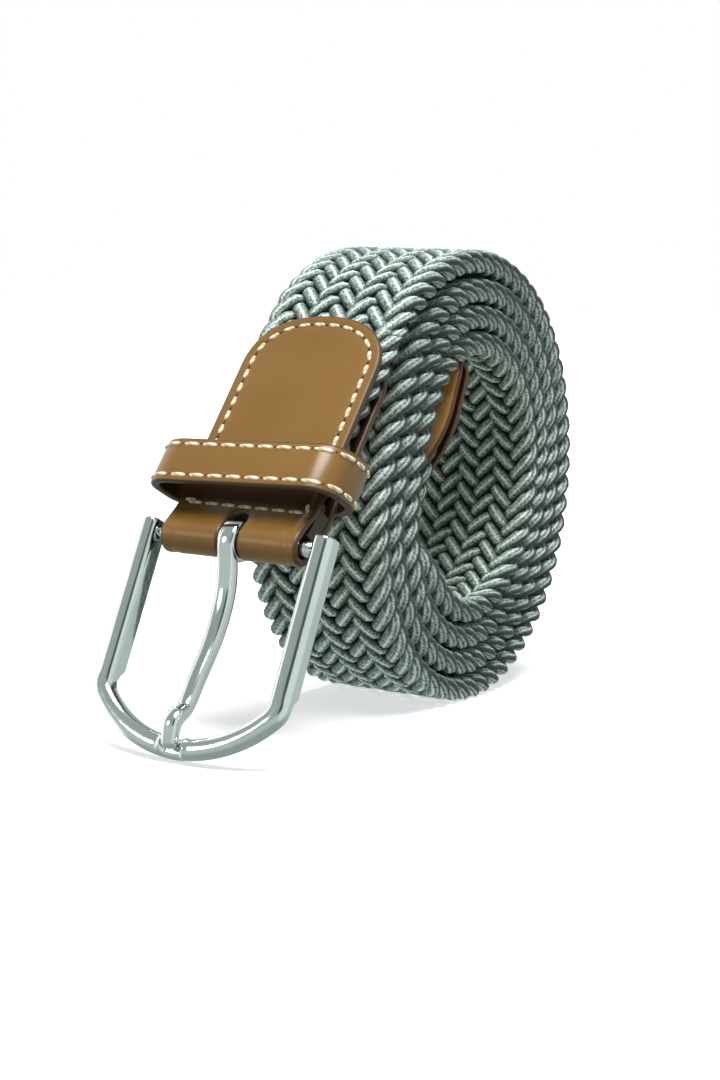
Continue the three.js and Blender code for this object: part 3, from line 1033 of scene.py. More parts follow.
@dataclass
class Braid:
    """The flat braid: cords that run from edge to edge, over two and under two, and back again."""

    path: BraidPath
    cords: int = 15
    lanes_apart: float = 2.0
    lanes_floated: float = 2.0
    lanes_turned: float = 1.5
    brim_lanes: Span = (0.3, 1.4)
    flatness: float = 1.4
    wrap_shift: float = 0.0137
    spacing: float = 0.0049
    reach: float = 0.0160
    height: float = 0.00142
    edge_rounding: float = 0.6
    cord_half_width: float = 0.00160
    cord_half_thickness: float = 0.00120
    squeeze: float = 0.22
    sides: int = 10
    points_per_metre: float = 1224.0
    groups: int = 3

    def tree(self) -> bpy.types.NodeTree:
        """The tree that lays the cords flat by the braid's rule, and bends them onto the path.

        Returns:
            The tree.
        """
        made = TreeInputs("braid_cords", {
            "Path": "Object", "Length": "Float", "Stations": "Int", "First Cord": "Int", "Cords": "Int",
            "Spacing": "Float", "Reach": "Float", "Height": "Float", "Edge Rounding": "Float",
            "Half Width": "Float", "Half Thickness": "Float", "Squeeze": "Float", "Sides": "Int",
            "Material": "Material",
        })
        nodes = made.nodes
        far = nodes.wire("ShaderNodeCombineXYZ", 0, X=made.given("Length"))
        line = nodes.wire("GeometryNodeCurvePrimitiveLine", 0, End=far)
        line = nodes.wire("GeometryNodeResampleCurve", 0, Curve=line, Count=made.given("Stations"))
        copies = nodes.add("GeometryNodeDuplicateElements", {"domain": "SPLINE"},
                           {"Geometry": line, "Amount": made.given("Cords")})
        cord = Wire(nodes, copies.outputs["Duplicate Index"]) + made.given("First Cord")
        along, _, _ = nodes.parts(made.place())
        across, rise, crest, brim = self.weave(made, along, cord)
        laid = nodes.wire("ShaderNodeCombineXYZ", 0, X=along, Y=across, Z=rise)
        flat = Wire(nodes, copies.outputs["Geometry"])
        flat = made.store(flat, "crest", crest)
        flat = made.store(flat, "brim", brim)
        flat = nodes.wire("GeometryNodeSetPosition", 0, Geometry=flat, Position=laid)
        flat = nodes.wire("GeometryNodeSetCurveNormal", 0, {"mode": "Z_UP"}, Curve=flat)
        squeeze = made.given("Squeeze")
        flat = nodes.wire("GeometryNodeSetCurveRadius", 0, Curve=flat,
                          Radius=1.0 - squeeze + made.number("crest") * squeeze)
        run = nodes.wire("GeometryNodeSplineParameter", "Length")
        flat = made.store(flat, "along", run + cord * self.wrap_shift)
        section = self.section(made)
        cords = nodes.wire("GeometryNodeCurveToMesh", 0, Curve=flat, Profile_Curve=section, Fill_Caps=True)
        return made.finish(self.bend(made, cords))

    def weave(self, made: TreeInputs, along: Wire, cord: Wire) -> tuple[Wire, Wire, Wire, Wire]:
        """The braid's rule: where a cord is across the band, and how high, at a length along it.

        Args:
            made: the tree.
            along: the length along the band.
            cord: the cord's number.

        Returns:
            The place across, the height, how far the cord is out of the band's middle, and how near its rim.
        """
        lanes = float(self.cords)
        centre = lanes / 2
        count = (along / made.given("Spacing") + cord) * self.lanes_apart % (2 * lanes)
        homeward = count.above(lanes)
        way = 1.0 - homeward * 2.0
        step = count % lanes
        edge = step.least(lanes - step)
        turning = (edge * (math.pi / 2 / self.lanes_turned)).sine() * -1.0
        weaving = ((edge - self.lanes_turned) * (math.pi / self.lanes_floated)).cosine() * -1.0
        inside = edge.above(self.lanes_turned)
        over = turning * (1.0 - inside) + weaving * inside
        over = (over * self.flatness).most(-1.0).least(1.0)
        over = (over * (math.pi / 2)).sine()
        rise = over * way * made.given("Height")
        crest = over.size().most(1.0 - inside)
        brim = 1.0 - edge.eased(*self.brim_lanes)
        soft = made.given("Edge Rounding")
        travelled = (edge * edge + soft * soft) ** 0.5 - soft
        whole = (soft * soft + centre * centre) ** 0.5 - soft
        left = made.given("Reach") * (1.0 - travelled / whole)
        half = step.above(centre) * 2.0 - 1.0
        return way * half * left, rise, crest, brim

    @staticmethod
    def section(made: TreeInputs) -> Wire:
        """Adds a cord's section.

        Args:
            made: the tree.

        Returns:
            An ellipse whose points know where they lie on it.
        """
        nodes = made.nodes
        ring = nodes.wire("GeometryNodeCurvePrimitiveCircle", 0, Resolution=made.given("Sides"), Radius=1.0)
        across, rise, _ = nodes.parts(made.place())
        ring = made.store(ring, "across", across)
        ring = made.store(ring, "rise", rise)
        scale = nodes.wire("ShaderNodeCombineXYZ", 0, X=made.given("Half Width"),
                           Y=made.given("Half Thickness"), Z=1.0)
        return nodes.wire("GeometryNodeTransform", 0, Geometry=ring, Scale=scale)

    @staticmethod
    def bend(made: TreeInputs, cords: Wire) -> Wire:
        """Bends the flat braid onto the path, thinner where leather presses it.

        Args:
            made: the tree.
            cords: the flat braid.

        Returns:
            The bent braid.
        """
        nodes = made.nodes
        path = nodes.wire("GeometryNodeObjectInfo", "Geometry", Object=made.given("Path"))
        down, across, height = nodes.parts(made.place())
        sampling = {"mode": "LENGTH", "data_type": "FLOAT"}
        values = {"Curves": path, "Value": nodes.wire("GeometryNodeInputRadius", 0), "Length": down}
        spot = nodes.add("GeometryNodeSampleCurve", sampling, values)
        wanted = ("Position", "Tangent", "Value")
        middle, tangent, thickness = (Wire(nodes, spot.outputs[name]) for name in wanted)
        tilt = nodes.wire("GeometryNodeInputCurveTilt", 0)
        narrowing = nodes.wire("GeometryNodeSampleCurve", "Value", sampling,
                               Curves=path, Value=tilt, Length=down)
        outward = nodes.vector_math("CROSS_PRODUCT", "Vector", first=tangent, second=(0.0, 1.0, 0.0))
        lift = nodes.vector_math("SCALE", "Vector", first=outward, Scale=height * thickness)
        base = nodes.vector_math("ADD", "Vector", first=middle, second=lift)
        sideways = nodes.wire("ShaderNodeCombineXYZ", 0, Y=across * (1.0 - narrowing))
        bent = nodes.vector_math("ADD", "Vector", first=base, second=sideways)
        return nodes.wire("GeometryNodeSetPosition", 0, Geometry=cords, Position=bent)

    def build(self) -> None:
        """Makes the cords, in groups that are a piece each."""
        path = self.path.curve()
        length = self.path.length()
        tree = self.tree()
        material = CORD.make()
        per_group = self.cords // self.groups
        pieces = []
        for group in range(self.groups):
            carrier = make_piece(f"braid_cords_{group + 1}", np.zeros((0, 3)), [])
            pieces.append(through_nodes(carrier, tree, {
                "Path": path, "Length": length, "Stations": int(length * self.points_per_metre),
                "First Cord": group * per_group, "Cords": per_group, "Spacing": self.spacing,
                "Reach": self.reach, "Height": self.height, "Edge Rounding": self.edge_rounding,
                "Half Width": self.cord_half_width, "Half Thickness": self.cord_half_thickness,
                "Squeeze": self.squeeze, "Sides": self.sides, "Material": material,
            }))
        bpy.data.objects.remove(path)
        for piece in pieces:
            dress(piece, Body.STRAP, Slot.BRAID, "braided_webbing")


def rounded_end(half_width: float, length: float, power: float, steps: int) -> np.ndarray:
    """A U-shaped end from its far side round to its near side, with its tip at length 0.

    Args:
        half_width: half its width.
        length: how long its rounded part is.
        power: how square it is; 2 is an ellipse.
        steps: how many pieces it has.

    Returns:
        Its points, as lengths and places across.
    """
    angle = np.linspace(0.0, math.pi, steps + 1)
    across = half_width * np.sign(np.cos(angle)) * np.abs(np.cos(angle)) ** (2 / power)
    down = length * (1 - np.sin(angle) ** (2 / power))
    return np.stack([down, across], axis=1)


def spaced_loop(points: np.ndarray, step: float) -> np.ndarray:
    """A closed outline with evenly spaced points."""
    closed = np.concatenate([points, points[:1]])
    return Track.spaced(closed, step)[:-1]


def loop_normals(loop: np.ndarray) -> np.ndarray:
    """The directions into a counter-clockwise outline, at its points."""
    along = unit(np.roll(loop, -1, axis=0) - np.roll(loop, 1, axis=0))
    return np.stack([-along[:, 1], along[:, 0]], axis=1)


def loop_distance(points: np.ndarray, loop: np.ndarray) -> np.ndarray:
    """Measures how far points are from an outline.

    Args:
        points: the points.
        loop: the outline.

    Returns:
        The distance of each point.
    """
    spans = np.roll(loop, -1, axis=0) - loop
    result = np.full(len(points), np.inf)
    for start, span in zip(loop, spans):
        t = np.clip(((points - start) @ span) / (span @ span), 0.0, 1.0)
        result = np.minimum(result, np.linalg.norm(points - start - t[:, None] * span, axis=1))
    return result


def inside_loop(points: np.ndarray, loop: np.ndarray) -> np.ndarray:
    """Tells which points lie inside an outline.

    Args:
        points: the points.
        loop: the outline.

    Returns:
        Whether each point does.
    """
    inside = np.zeros(len(points), bool)
    for (x0, y0), (x1, y1) in zip(loop, np.roll(loop, -1, axis=0)):
        crosses = (y0 > points[:, 1]) != (y1 > points[:, 1])
        with np.errstate(divide="ignore", invalid="ignore"):
            at = x0 + (points[:, 1] - y0) * (x1 - x0) / (y1 - y0)
        inside ^= crosses & (points[:, 0] < at)
    return inside


@dataclass
class LeatherStrip:
    """A strip of leather cut to a flat outline and laid along a track, with rounded edges, a seam, and
    painted shadow where another piece covers it.
    """

    plane: Hang
    track: Track
    outline: np.ndarray
    thickness: float
    edge_radius: float
    hole: np.ndarray | None = None
    seam_inset: float = 0.0025
    seam_depth: float = 0.00016
    seam_width: float = 0.0006
    rows_at: tuple[float, ...] = (0.45, 0.75, 1.0, 1.25, 1.6)
    grid_from: float = 1.9
    grid: float = 0.0011
    hole_margin: float = 0.4
    edge_steps: int = 6
    # where another piece covers the outer face, and how strong the painted shadow is there
    hidden: Span = (1.0, 1.0)
    hidden_fade: float = 0.0016
    hidden_shade: float = 0.86

    def lay(self, length: np.ndarray, across: np.ndarray, height: np.ndarray) -> np.ndarray:
        """Points in space from lengths along the strip, places across it and heights off its middle."""
        side = self.track.place(np.asarray(length, float), np.asarray(height, float))
        return self.plane.place(side[..., 0], across, side[..., 1])

    def facing(self, length: np.ndarray) -> np.ndarray:
        """The outward direction in space at lengths along the strip."""
        side = self.track.facing(np.asarray(length, float))
        span = side[..., :1] * self.plane.down() + side[..., 1:] * self.plane.out()
        return np.stack([span[..., 0], np.zeros(span.shape[:-1]), span[..., 1]], axis=-1)

    def shadow_where_covered(self, length: np.ndarray) -> np.ndarray:
        """Paints shadow on the outer face where another piece covers it.

        Args:
            length: lengths along the strip.

        Returns:
            How much painted shadow there is at each.
        """
        low, high = self.hidden
        entering = eased(length, low, low + self.hidden_fade)
        leaving = eased(length, high - self.hidden_fade, high)
        return self.hidden_shade * entering * (1.0 - leaving)

    def flat_points(self) -> np.ndarray:
        """Fills the strip inside its outlines.

        Returns:
            The points, in rows that follow the edge near it.
        """
        into = loop_normals(self.outline)
        rings = [self.outline + into * share * self.seam_inset for share in self.rows_at]
        low, high = self.outline.min(axis=0), self.outline.max(axis=0)
        rows = [np.arange(a, b, self.grid) for a, b in zip(low, high)]
        grid = np.stack(np.meshgrid(*rows, indexing="ij"), axis=-1).reshape(-1, 2)
        grid = grid[inside_loop(grid, self.outline)]
        grid = grid[loop_distance(grid, self.outline) > self.grid_from * self.seam_inset]
        points = np.concatenate([*rings, grid])
        if self.hole is not None:
            points = points[~inside_loop(points, self.hole)]
            margin = self.edge_radius + self.hole_margin * self.grid
            points = points[loop_distance(points, self.hole) > margin]
        return points

    def build(self, name: str, materials: tuple[bpy.types.Material, ...]) -> bpy.types.Object:
        """Makes the strip.

        Args:
            name: the piece's name.
            materials: its materials.

        Returns:
            The object.
        """
        loops = [self.outline] if self.hole is None else [self.outline, self.hole]
        signs = [1.0, -1.0][: len(loops)]
        flat, rims, triangles = self.filled(loops, signs)
        half = self.thickness / 2
        distance = loop_distance(flat, self.outline)
        from_hole = loop_distance(flat, self.hole) if self.hole is not None else np.full(len(flat), np.inf)
        pressed = self.seam_depth * np.exp(-(((distance - self.seam_inset) / self.seam_width) ** 2))
        count = len(flat)
        solid = [np.column_stack([flat, half - pressed]), np.column_stack([flat, pressed - half])]
        faces = [list(t) for t in triangles] + [[i + count for i in reversed(t)] for t in triangles]
        edges = [np.minimum(distance, from_hole)] * 2
        # painted shadow on the outer face where it is covered, and the dark back colour on the inner face
        underside_and_shadow = [self.shadow_where_covered(flat[:, 0]), np.ones(count)]
        offset = 2 * count
        angles = np.radians(np.linspace(90, -90, self.edge_steps + 1)[1:-1])
        for loop, sign, rim in zip(loops, signs, rims):
            rows = [np.array(rim)]
            for angle in angles:
                inset = self.edge_radius * (1 - math.cos(angle))
                height = self.edge_radius * math.sin(angle) + (half - self.edge_radius) * np.sign(angle)
                ring = loop + loop_normals(loop) * inset * sign
                solid.append(np.column_stack([ring, np.full(len(ring), height)]))
                edges.append(np.full(len(ring), inset))
                underside_and_shadow.append(np.zeros(len(ring)))
                rows.append(np.arange(offset, offset + len(ring)))
                offset += len(ring)
            rows.append(np.array(rim) + count)
            for upper, lower in zip(rows, rows[1:]):
                quads = np.column_stack([upper, lower, np.roll(lower, -1), np.roll(upper, -1)])
                faces += (quads if sign > 0 else quads[:, ::-1]).tolist()
        length, across, height = np.concatenate(solid).T
        numbers = {"edge": np.concatenate(edges), "inside": np.concatenate(underside_and_shadow)}
        piece = make_piece(name, self.lay(length, across, height), faces, numbers, materials)
        face_out(piece)
        return piece

    def filled(self, loops: list[np.ndarray],
               signs: list[float]) -> tuple[np.ndarray, list[list[int]], list[tuple[int, ...]]]:
        """Fills the flat strip with triangles, from where its rounded edges start.

        Args:
            loops: its outline, and its hole's where it has one.
            signs: 1 for the outline and -1 for the hole.

        Returns:
            The flat points, the numbers of those along each loop, and the triangles.
        """
        insets = [loop + loop_normals(loop) * self.edge_radius * sign for loop, sign in zip(loops, signs)]
        flat = np.concatenate([*insets, self.flat_points()])
        starts = np.cumsum([0] + [len(loop) for loop in insets])
        rims = [list(range(first, last)) for first, last in zip(starts, starts[1:])]
        corners = [Vector(p) for p in flat * MILLIMETRES]
        _, _, triangles, origins, _, _ = delaunay_2d_cdt(corners, [], rims, FILL_INSIDE, MERGE_WITHIN)
        assert len(origins) == len(flat)
        source = [origin[0] for origin in origins]
        return flat, rims, [tuple(source[i] for i in t) for t in triangles]


class Seat(NamedTuple):
    """Where a stitch or a needle hole sits, which way it runs and faces, and how far it is stretched."""

    place: np.ndarray
    run: np.ndarray
    face: np.ndarray
    stretch: float


@dataclass
class Stitching:
    """Rows of thread stitches with a needle hole between each two, shown as a dark bead of painted shade."""

    length: float = 0.0026
    width: float = 0.00100
    thickness: float = 0.00085
    segments: int = 10
    rings: int = 7
    bluntness: float = 3.0
    swelling: float = 0.4
    fullest: float = 1.25
    smallest: float = 0.0001
    most_of_step: float = 0.9
    hole_size: float = 0.0007
    hole_depth: float = 0.35
    sink: float = 0.0001
    seats: list[Seat] = field(default_factory=list)
    holes: list[Seat] = field(default_factory=list)

    @staticmethod
    def spots(number: int, step: float, length: float) -> np.ndarray:
        """A stitch's start, middle and end along its row, and the needle hole before it."""
        middle = (number + 0.5) * step
        return np.array([middle - length / 2, middle, middle + length / 2, number * step])

    def add(self, places: np.ndarray, facing: np.ndarray) -> None:
        """Adds a stitch and its needle hole.

        Args:
            places: the four places in space that spots gives along the row.
            facing: the way that each of them faces.
        """
        start, middle, end, hole = places
        run = end - start
        self.seats.append(Seat(middle, run, facing[1], np.linalg.norm(run) / self.length))
        self.holes.append(Seat(hole, run, facing[3], 1.0))

    def sew(self, strip: LeatherStrip, line: np.ndarray, pitch: float, size: float = 1.0) -> None:
        """Adds a row along a seam line of a strip.

        Args:
            strip: the strip of leather.
            line: the seam, as lengths along the strip and places across it.
            pitch: the distance from one stitch to the next.
            size: the stitches' length against the usual one.
        """
        lengths = lengths_along(line)
        count = int(round(lengths[-1] / pitch))
        step = lengths[-1] / count
        surface = strip.thickness / 2 - strip.seam_depth
        for number in range(count):
            spots = self.spots(number, step, min(self.length * size, self.most_of_step * step))
            flat = read_at(spots, lengths, line)
            places = strip.lay(flat[:, 0], flat[:, 1], np.full(len(spots), surface))
            self.add(places, strip.facing(flat[:, 0]))

    def tree(self) -> bpy.types.NodeTree:
        """The tree that puts a stitch on each point.

        Returns:
            The tree.
        """
        made = TreeInputs("stitches", {
            "Length": "Float", "Width": "Float", "Thickness": "Float", "Segments": "Int", "Rings": "Int",
            "Material": "Material",
        })
        nodes = made.nodes
        bead = nodes.wire("GeometryNodeMeshUVSphere", "Mesh", Segments=made.given("Segments"),
                          Rings=made.given("Rings"), Radius=0.5)
        x, y, z = nodes.parts(made.place())
        bead = made.store(bead, "along", z)
        bead = made.store(bead, "across", x)
        end = z * 2.0
        ball = (1.0 - end * end).most(self.smallest) ** 0.5 + self.smallest
        fuller = (1.0 - end.size() ** self.bluntness) ** self.swelling / ball
        fuller = fuller.least(self.fullest)
        shaped = nodes.wire("ShaderNodeCombineXYZ", 0, X=z * made.given("Length"),
                            Y=x * fuller * made.given("Width"), Z=y * fuller * made.given("Thickness"))
        bead = nodes.wire("GeometryNodeSetPosition", 0, Geometry=bead, Position=shaped)
        turn = nodes.wire("FunctionNodeAxesToRotation", 0, {"primary_axis": "X", "secondary_axis": "Z"},
                          Primary_Axis=made.vector("run"), Secondary_Axis=made.vector("face"))
        long = nodes.wire("ShaderNodeCombineXYZ", 0, X=made.number("stretch"), Y=1.0, Z=1.0)
        placed = nodes.wire("GeometryNodeInstanceOnPoints", 0, Points=made.given("Geometry"), Instance=bead,
                            Rotation=turn, Scale=long)
        return made.finish(placed)

    @staticmethod
    def carrier(name: str, seats: list[Seat]) -> bpy.types.Object:
        """Makes a cloud of points that know which way their stitch runs and faces.

        Args:
            name: the cloud's name.
            seats: the seats of its stitches.

        Returns:
            The cloud.
        """
        piece = make_piece(name, np.array([seat.place for seat in seats]), [])
        ways = {"run": [seat.run for seat in seats], "face": [seat.face for seat in seats]}
        for key, vectors in ways.items():
            layer = piece.data.attributes.new(key, "FLOAT_VECTOR", "POINT")
            layer.data.foreach_set("vector", np.array(vectors, np.float32).ravel())
        layer = piece.data.attributes.new("stretch", "FLOAT", "POINT")
        layer.data.foreach_set("value", np.array([seat.stretch for seat in seats], np.float32))
        return piece

    def build(self, name: str) -> None:
        """Makes the stitches, and the dark beads of painted shade at their needle holes.

        Args:
            name: the stitches' name.
        """
        tree = self.tree()
        shape = {"Segments": self.segments, "Rings": self.rings}
        thread = through_nodes(self.carrier(name, self.seats), tree, {
            "Length": self.length, "Width": self.width, "Thickness": self.thickness,
            "Material": THREAD.make(), **shape,
        })
        # the needle holes are dark beads laid on the leather: painted shade, not holes
        holes = through_nodes(self.carrier(name + "_holes", self.holes), tree, {
            "Length": self.hole_size, "Width": self.hole_size,
            "Thickness": self.hole_size * self.hole_depth,
            "Material": HOLES.make(), **shape,
        })
        for piece in (thread, holes):
            dress(piece, Body.STRAP, Slot.LEATHER)


@dataclass
class Tab:
    """The folded leather tab, with its roll round the bar and the neck behind it."""

    layout: Layout
    half_width: float = 0.0165
    leather: float = 0.0016
    front_height: float = -0.0008
    back_height: float = -0.0062
    back_start: float = 0.003
    round_length: float = 0.0139
    round_power: float = 2.3
    roll_radius: float = 0.00300
    roll_from: float = 115.0
    roll_to: float = -110.0
    slot_half: float = 0.0023
    slot_top: float = 0.0506
    corner_softness: float = 0.0009
    outline_step: float = 0.0007
    seam_inset: float = 0.0025
    seam_end: float = 0.0440
    pitch: float = 0.00354
    cross_at: float = 0.0491
    cross_pitch: float = 0.0039
    knot_rise: float = 0.0007
    loop_rise: float = 0.0026
    loop_lean: float = 0.0010
    neck_start: float = 0.0466
    neck_end: float = 0.0535
    neck_rise: float = 0.0009
    neck_inset: float = 0.0003
    waist: float = 0.0004
    # the painted shadow under the keeper runs from here to just past the cross row
    covered_from: float = 0.0400
    covered_past: float = 0.0002
    cross_size: float = 1.32
    front_end: float = 0.0485
    back_end: float = 0.0480
    roll_steps: int = 40
    slot_steps: int = 16
    slot_spacing: float = 0.0005
    edge_radius: float = 0.0006
    waist_span: Span = (0.007, 0.013)
    knot_span: Span = (0.6, 0.4)

    def track(self) -> Track:
        """Runs a line down the front leaf, round the bar and up the back leaf.

        Returns:
            The strip's middle line.
        """
        bar = (self.layout.bar_down, self.layout.bar_out)
        front = np.array([[0.0, self.front_height], [self.front_end, self.front_height]])
        roll = arc(bar, self.roll_radius, self.roll_from, self.roll_to, self.roll_steps)
        back = np.array([[self.back_end, self.back_height], [self.back_start, self.back_height]])
        return Track(np.concatenate([front, roll, back]), TRACK_STEP, self.corner_softness)

    def strip(self) -> LeatherStrip:
        """Cuts the strip.

        Returns:
            The strip, with a slot for the prong.
        """
        track = self.track()
        front = rounded_end(self.half_width, self.round_length, self.round_power, END_STEPS)
        back = front[::-1] * (-1, 1) + (track.length, 0.0)
        outline = spaced_loop(np.concatenate([front, back]), self.outline_step)
        low = track.nearest(np.array([self.slot_top, self.front_height])) + self.slot_half
        high = track.nearest(np.array([self.slot_top, self.back_height]), low) - self.slot_half
        hole = np.concatenate([
            arc((high, 0.0), self.slot_half, -90, 90, self.slot_steps),
            arc((low, 0.0), self.slot_half, 90, 270, self.slot_steps),
        ])
        from_bar = np.abs(outline[:, 0] - track.length / 2)
        drawn_in = self.waist * (1.0 - eased(from_bar, *self.waist_span))
        outline[:, 1] -= np.sign(outline[:, 1]) * drawn_in
        hidden = (self.covered_from, self.cross_at + self.covered_past)
        slot = spaced_loop(hole, self.slot_spacing)
        return LeatherStrip(self.layout.tab(), track, outline, self.leather, self.edge_radius, slot,
                            seam_inset=self.seam_inset, hidden=hidden)

    def seam(self, strip: LeatherStrip, low: float, high: float) -> np.ndarray:
        """Draws the seam round one of the strip's ends.

        Args:
            strip: the strip.
            low: the length at which the seam starts.
            high: the length at which it ends.

        Returns:
            The seam's points.
        """
        inner = strip.outline + loop_normals(strip.outline) * self.seam_inset
        near = inner[(inner[:, 0] > low) & (inner[:, 0] < high)]
        middle = high if low < strip.track.length / 2 else low
        order = np.argsort(np.arctan2(near[:, 1], np.abs(near[:, 0] - middle)))
        return near[order]

    def build_neck(self) -> None:
        """Makes the core that fills the neck between the leaves, with room for the prong's eye, coloured all
        over with the leather's dark back colour as painted shade.
        """
        plane = self.layout.tab()
        low, high = self.back_height + self.leather / 2, self.front_height - self.leather / 2
        side = np.array([
            [self.neck_start, low], [self.neck_end, low + self.neck_rise],
            [self.neck_end, high + self.neck_rise], [self.neck_start, high],
        ])
        short = side.copy()
        short[1:3, 0] = self.slot_top
        wide, slot = self.half_width - self.neck_inset, self.slot_half + self.neck_inset
        points, faces = [], []
        for profile, near, far in ((side, -wide, -slot), (side, slot, wide), (short, -slot, slot)):
            rings = np.array([plane.place(profile[:, 0], np.full(4, y), profile[:, 1]) for y in (near, far)])
            block, sides = loft(rings, closed=False)
            faces += [[i + len(points) for i in face] for face in sides]
            points += block.tolist()
        # the whole core takes the dark back colour: painted shade between the leaves
        numbers = {"edge": np.zeros(len(points)), "inside": np.ones(len(points))}
        core = make_piece("leather_neck_core", np.array(points), faces, numbers, (LEATHER.make(),))
        face_out(core)
        core.data.polygons.foreach_set("use_smooth", [False] * len(core.data.polygons))
        dress(core, Body.STRAP, Slot.LEATHER, "leather_tab")

    def build(self, stitching: Stitching) -> None:
        """Makes the tab and sews it.

        Args:
            stitching: the rows of stitches to add to.
        """
        strip = self.strip()
        piece = strip.build("leather_tab_strip", (LEATHER.make(),))
        dress(piece, Body.STRAP, Slot.LEATHER, "leather_tab")
        self.build_neck()
        whole = strip.track.length
        stitching.sew(strip, self.seam(strip, 0.0, self.seam_end), self.pitch)
        stitching.sew(strip, self.seam(strip, whole - self.seam_end + self.back_start, whole), self.pitch)
        cross = self.half_width - self.seam_inset
        row = np.array([[self.cross_at, cross], [self.cross_at, -cross]])
        stitching.sew(strip, row, self.cross_pitch, self.cross_size)
        inward, outward = (share * self.cross_pitch for share in self.knot_span)
        knot = np.array([row[0] - (0.0, inward), row[0] + (0.0, outward)])
        stitching.sew(strip, knot - (self.knot_rise, 0.0), self.cross_pitch)
        end = row[1] - (0.0, self.knot_rise)
        stitching.sew(strip, np.array([end, end - (self.loop_rise, -self.loop_lean)]), self.cross_pitch)


@dataclass
class Keeper:
    """The leather loop that holds the strap's free end, sitting a little askew, its front slipped down."""

    layout: Layout
    start: float = 0.0337
    end: float = 0.0444
    slip: float = 0.0041
    skew: float = 0.045
    half_width: float = 0.0218
    back: float = -0.0093
    front: float = 0.0079
    wall: float = 0.0019
    front_corner: float = 0.0060
    back_corner: float = 0.0074
    edge_radius: float = 0.0007
    loop_step: float = 0.0006
    pitch: float = 0.0043
    stitch: float = 0.0036
    seam_inset: float = 0.0016
    corner_steps: int = 12
    edge_steps: int = 5
    inner_face: float = 0.45

    def place(self, down: np.ndarray | float, across: np.ndarray, height: np.ndarray) -> np.ndarray:
        """Points in space from distances down, across and out, with the loop's slip and skew."""
        drop = self.slip * (height - self.back) / (self.front - self.back) + self.skew * across
        return self.layout.tab().place(down + drop, across, height)

    def middle(self) -> np.ndarray:
        """Draws the loop's closed middle line.

        Returns:
            Its points, as places across and heights.
        """
        half = self.wall / 2
        wide, low, high = self.half_width - half, self.back + half, self.front - half
        front, back = self.front_corner - half, self.back_corner - half
        loop = np.concatenate([
            arc((wide - front, high - front), front, 0, 90, self.corner_steps),
            arc((-wide + front, high - front), front, 90, 180, self.corner_steps),
            arc((-wide + back, low + back), back, 180, 270, self.corner_steps),
            arc((wide - back, low + back), back, 270, 360, self.corner_steps),
        ])
        return spaced_loop(loop, self.loop_step)

    def build(self, stitching: Stitching) -> None:
        """Makes the keeper and sews it.

        Args:
            stitching: the rows of stitches to add to.
        """
        loop = self.middle()
        outward = -loop_normals(loop)
        width = self.end - self.start
        section = rounded_section(width, self.wall, self.edge_radius, self.edge_radius, self.edge_steps)
        rings = []
        for spot, out in zip(loop, outward):
            across = spot[0] + out[0] * section[:, 1]
            height = spot[1] + out[1] * section[:, 1]
            rings.append(self.place((self.start + self.end) / 2 + section[:, 0], across, height))
        points, faces = loft(np.array(rings), closed=True)
        # the inner face takes the dark back colour: the leather's back, darkened further as painted shade
        # inside the loop
        numbers = {
            "edge": np.tile(width / 2 - np.abs(section[:, 0]), len(loop)),
            "inside": np.tile((section[:, 1] < -self.wall * self.inner_face).astype(float), len(loop)),
        }
        piece = make_piece("keeper_band", points, faces, numbers, (LEATHER.make(),))
        face_out(piece)
        dress(piece, Body.STRAP, Slot.LEATHER, "keeper_loop")
        self.sew(loop, outward, stitching)

    def sew(self, loop: np.ndarray, outward: np.ndarray, stitching: Stitching) -> None:
        """Adds a row of stitches near each edge.

        Args:
            loop: the loop's middle line.
            outward: the direction out of it at each point.
            stitching: the rows of stitches to add to.
        """
        closed = np.concatenate([loop, loop[:1]])
        facing = np.concatenate([outward, outward[:1]])
        lengths = lengths_along(closed)
        count = int(round(lengths[-1] / self.pitch))
        step = lengths[-1] / count
        for down in (self.start + self.seam_inset, self.end - self.seam_inset):
            for number in range(count):
                spots = stitching.spots(number, step, self.stitch)
                away = unit(read_at(spots, lengths, facing))
                line = read_at(spots, lengths, closed) + away * (self.wall / 2 - stitching.sink)
                places = self.place(down, line[:, 0], line[:, 1])
                out = self.place(down, line[:, 0] + away[:, 0], line[:, 1] + away[:, 1]) - places
                stitching.add(places, unit(out))


def rounded_section(width: float, depth: float, low: float, high: float, steps: int) -> np.ndarray:
    """A rectangle round the origin, counter-clockwise, with corners that may be rounder at one end.

    Args:
        width: its first side.
        depth: its second side.
        low: the corners' radius at the low end of the first side.
        high: the corners' radius at the high end.
        steps: how many pieces each corner has.

    Returns:
        The points.
    """
    a, b = width / 2, depth / 2
    return np.concatenate([
        arc((a - high, -b + high), high, -90, 0, steps),
        arc((a - high, b - high), high, 0, 90, steps),
        arc((-a + low, b - low), low, 90, 180, steps),
        arc((-a + low, -b + low), low, 180, 270, steps),
    ])


def loft(rings: np.ndarray, closed: bool) -> tuple[np.ndarray, list]:
    """A skin over rings of points.

    Args:
        rings: one row of points for each ring, all as many.
        closed: whether the last ring meets the first; otherwise both ends are capped.

    Returns:
        The points and the faces, pointing out where each ring turns counter-clockwise seen from the end.
    """
    count, sides = rings.shape[:2]
    points = rings.reshape(-1, 3)
    faces = []
    for i in range(count if closed else count - 1):
        here, there = i * sides, ((i + 1) % count) * sides
        for j in range(sides):
            k = (j + 1) % sides
            faces.append([here + j, here + k, there + k, there + j])
    if not closed:
        middles = rings[[0, -1]].mean(axis=1)
        first, last = len(points), len(points) + 1
        points = np.concatenate([points, middles])
        end = (count - 1) * sides
        for j in range(sides):
            k = (j + 1) % sides
            faces.append([first, k, j])
            faces.append([last, end + j, end + k])
    return points, faces


